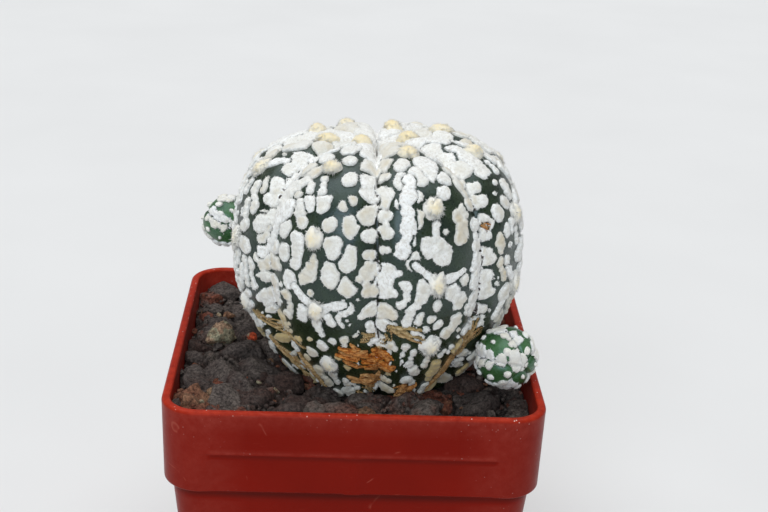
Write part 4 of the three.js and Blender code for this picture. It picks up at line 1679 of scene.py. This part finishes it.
def pot_piece(material):
    """The pot as rings from its underside, over the lip, to its floor, and drain holes."""
    foot = POT_HEIGHT - COLLAR_HEIGHT
    collar = RIM_HALF - COLLAR_DRAFT
    neck = collar - COLLAR_STEP
    slope = (neck - BASE_HALF) / foot
    neck_corner = RIM_CORNER - 1
    rings = []

    def ring(half, corner, z):
        rings.append((half, corner, z))

    def bend(half, corner, z, size, start, end, steps=5):
        """A rounded edge of so many millimetres, from one angle in degrees to another."""
        for step in range(steps + 1):
            angle = math.radians(start + (end - start) * step / steps)
            shift = size * math.cos(angle)
            ring(half + shift, corner + shift, z + size * math.sin(angle))

    size = BASE_ROUNDING
    bend(BASE_HALF - size, BASE_CORNER - size, size, size, -90, 0)
    for share in (0.04, 0.35, 0.65, 0.94, 0.955, 0.97, 0.98):
        ring(BASE_HALF + slope * foot * share, BASE_CORNER + (neck_corner - BASE_CORNER) * share,
             foot * share)
    size = NECK_ROUNDING
    bend(neck + size, neck_corner + size, foot - 0.2, size, 180, 90, 3)
    size = COLLAR_ROUNDING
    bend(collar - size, RIM_CORNER - size, foot + 0.35, size, -90, 0)
    top_of_recess = POT_HEIGHT - RECESS_TOP
    near_edge = [top_of_recess + step for step in RECESS_EDGE_STEPS]
    for z in (foot + 1, foot + 4, *near_edge, POT_HEIGHT - 3.5, POT_HEIGHT - 2, POT_HEIGHT - 1.2):
        ring(collar + COLLAR_DRAFT * (z - foot) / COLLAR_HEIGHT, RIM_CORNER, z)
    size = OUTER_LIP_ROUNDING
    bend(RIM_HALF - size, RIM_CORNER - size, POT_HEIGHT - 0.6, size, 0, 90)
    size = INNER_LIP_ROUNDING
    bend(RIM_HALF - WALL + size, RIM_CORNER - WALL + size, POT_HEIGHT - 0.5, size, 90, 180)
    ring(collar - WALL, RIM_CORNER - WALL, foot + SHOULDER + COLLAR_STEP)
    ring(neck - WALL, neck_corner - WALL, foot + SHOULDER)
    ring(BASE_HALF + FLOOR * slope - WALL, BASE_CORNER - WALL, FLOOR + 0.5)
    ring(BASE_HALF + FLOOR * slope - WALL - 0.5, BASE_CORNER - WALL, FLOOR)
    shape = np.array([square_ring(*values) for values in rings])
    wear_and_painted_light = press_recess(shape, foot, top_of_recess)
    count = shape.shape[1]
    bottom, floor = shape[0], shape[-1]
    shape = shape.reshape(-1, 3)
    build = Build()
    height = shape[:, 2]
    # Paler along the lip, partly rubbed and partly a painted highlight; a little paler in the band
    # under it, as painted light; and a little paler on the corners.
    wear_and_painted_light = wear_and_painted_light.ravel() + smoothstep(height, *WORN_AND_LIT_LIP)
    wear_and_painted_light = wear_and_painted_light + 0.2 * smoothstep(height, POT_HEIGHT - 3.5, POT_HEIGHT - 1)
    wear_and_painted_light = wear_and_painted_light + 0.2 * (np.abs(shape[:, :2]) > BASE_HALF - BASE_CORNER).all(1)
    # Painted shade on the neck just under the collar's foot, where the ledge shades it.
    wear_and_painted_light = wear_and_painted_light - bell(height - foot + 0.7, 0.7) * (height < foot)
    build.add(shape, ring_faces(len(rings), count), wear_and_painted_light)
    holed_face(build, bottom, drain_rings(0), False)
    holed_face(build, floor, drain_rings(FLOOR), True)
    for low, high in zip(drain_rings(0), drain_rings(FLOOR)):
        build.add(np.vstack([low, high]), ring_faces(2, len(low))[:, ::-1])
    return build.object("pot_shell", material)


# Stage

def camera():
    pitch, yaw, roll = (math.radians(v) for v in (CAMERA_PITCH, CAMERA_YAW, CAMERA_ROLL))
    ahead = Vector((math.sin(yaw) * math.cos(pitch), math.cos(yaw) * math.cos(pitch),
                    -math.sin(pitch)))
    right = Vector((math.cos(yaw), -math.sin(yaw), 0))
    up = right.cross(ahead)
    data = bpy.data.cameras.new("camera")
    data.lens = CAMERA_LENS
    data.sensor_width = 36
    thing = link("camera", data)
    turned_right = right * math.cos(roll) + up * math.sin(roll)
    turned_up = up * math.cos(roll) - right * math.sin(roll)
    turn = Matrix((turned_right, turned_up, -ahead)).transposed()
    thing.matrix_world = Matrix.Translation(Vector(CAMERA_PLACE) * MM) @ turn.to_4x4()
    bpy.context.scene.camera = thing


def soft_sun(name, towards, strength, spread, colour):
    """Light from one side of the sky, spread over so many degrees."""
    data = bpy.data.lights.new(name, "SUN")
    data.energy = strength
    data.color = colour
    data.angle = math.radians(spread)
    thing = link(name, data)
    thing.location = towards
    thing.rotation_euler = (-Vector(towards)).to_track_quat("-Z", "Y").to_euler()


def stage():
    world = bpy.data.worlds.new("studio")
    bpy.context.scene.world = world
    world.use_nodes = True
    background = world.node_tree.nodes["Background"]
    background.inputs["Color"].default_value = (0.9, 0.94, 1.0, 1)
    background.inputs["Strength"].default_value = 0.27
    bpy.context.scene.view_settings.view_transform = "Standard"
    soft_sun("overhead", towards=(-0.1, 0.12, 1), strength=2.15, spread=75,
             colour=(1, 0.99, 0.97))
    soft_sun("window", towards=(-0.19, -0.87, 0.45), strength=1.15, spread=34,
             colour=(0.85, 0.94, 1))
    floor = Build()
    reach = FLOOR_REACH
    floor.add([(-reach, -reach, 0), (reach, -reach, 0), (reach, reach, 0), (-reach, reach, 0)],
              [[0, 1, 2, 3]])
    nodes = Nodes("floor", 0.9, 0.1)
    tint = nodes.ramp(nodes.noise(60, 2), (0.3, linear(224, 224, 224)), (0.7, linear(227, 227, 227)))
    floor.object("floor", nodes.finish(tint), smooth=False)


def place(piece, slot, *nodes):
    """Rides a piece on the plant, in the place of its solids, which it hides."""
    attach(piece, "root")
    for node in nodes:
        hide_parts(node)


def dress(head, skin_look, felt_look, wool_look, scar_look):
    """Puts the skin, felt, scars and wool of one head in the place of its solid."""
    seeds = sow(head)
    draw = np.random.default_rng(head.felt_seed)
    slot = head.slot
    place(skin_piece(head, skin_look), slot, head.name)
    for piece in felt_pieces(head, seeds, draw, felt_look, scar_look):
        place(piece, slot)
    place(wool_piece(head, seeds, draw, wool_look), slot)


camera()
stage()

place(pot_piece(plastic_material()), "pot_plastic", "pot")
for piece in soil_pieces(grit_material()):
    place(piece, "grit", "soil")

HEAD.cuts = [root_cut()]
HEAD.scars = SCARS
HEAD.strips = STRIPS
for offset in (RIGHT_OFFSET, LEFT_OFFSET):
    offset.cuts = [seat_cut(offset)]
    HEAD.seats.append((seat_of(offset)[0], offset.radius * SEAT_REACH))

head_skin = skin_material("cactus_skin", linear(25, 34, 15), linear(46, 57, 31),
                          linear(46, 36, 27))
offset_skin = skin_material("offset_skin", linear(34, 72, 32), linear(76, 116, 70),
                            linear(60, 80, 44))
felt = felt_material("felt", linear(254, 255, 254), linear(222, 219, 213),
                     linear(200, 176, 120))
young_felt = felt_material("young_felt", linear(253, 254, 255), linear(226, 228, 233),
                           linear(232, 226, 206))
wool = wool_material("wool", linear(255, 233, 172), linear(254, 252, 246))
young_wool = wool_material("young_wool", linear(244, 240, 226), linear(254, 253, 250))
cork = cork_material()

dress(HEAD, head_skin, felt, wool, cork)
for offset in (RIGHT_OFFSET, LEFT_OFFSET):
    dress(offset, offset_skin, young_felt, young_wool, cork)
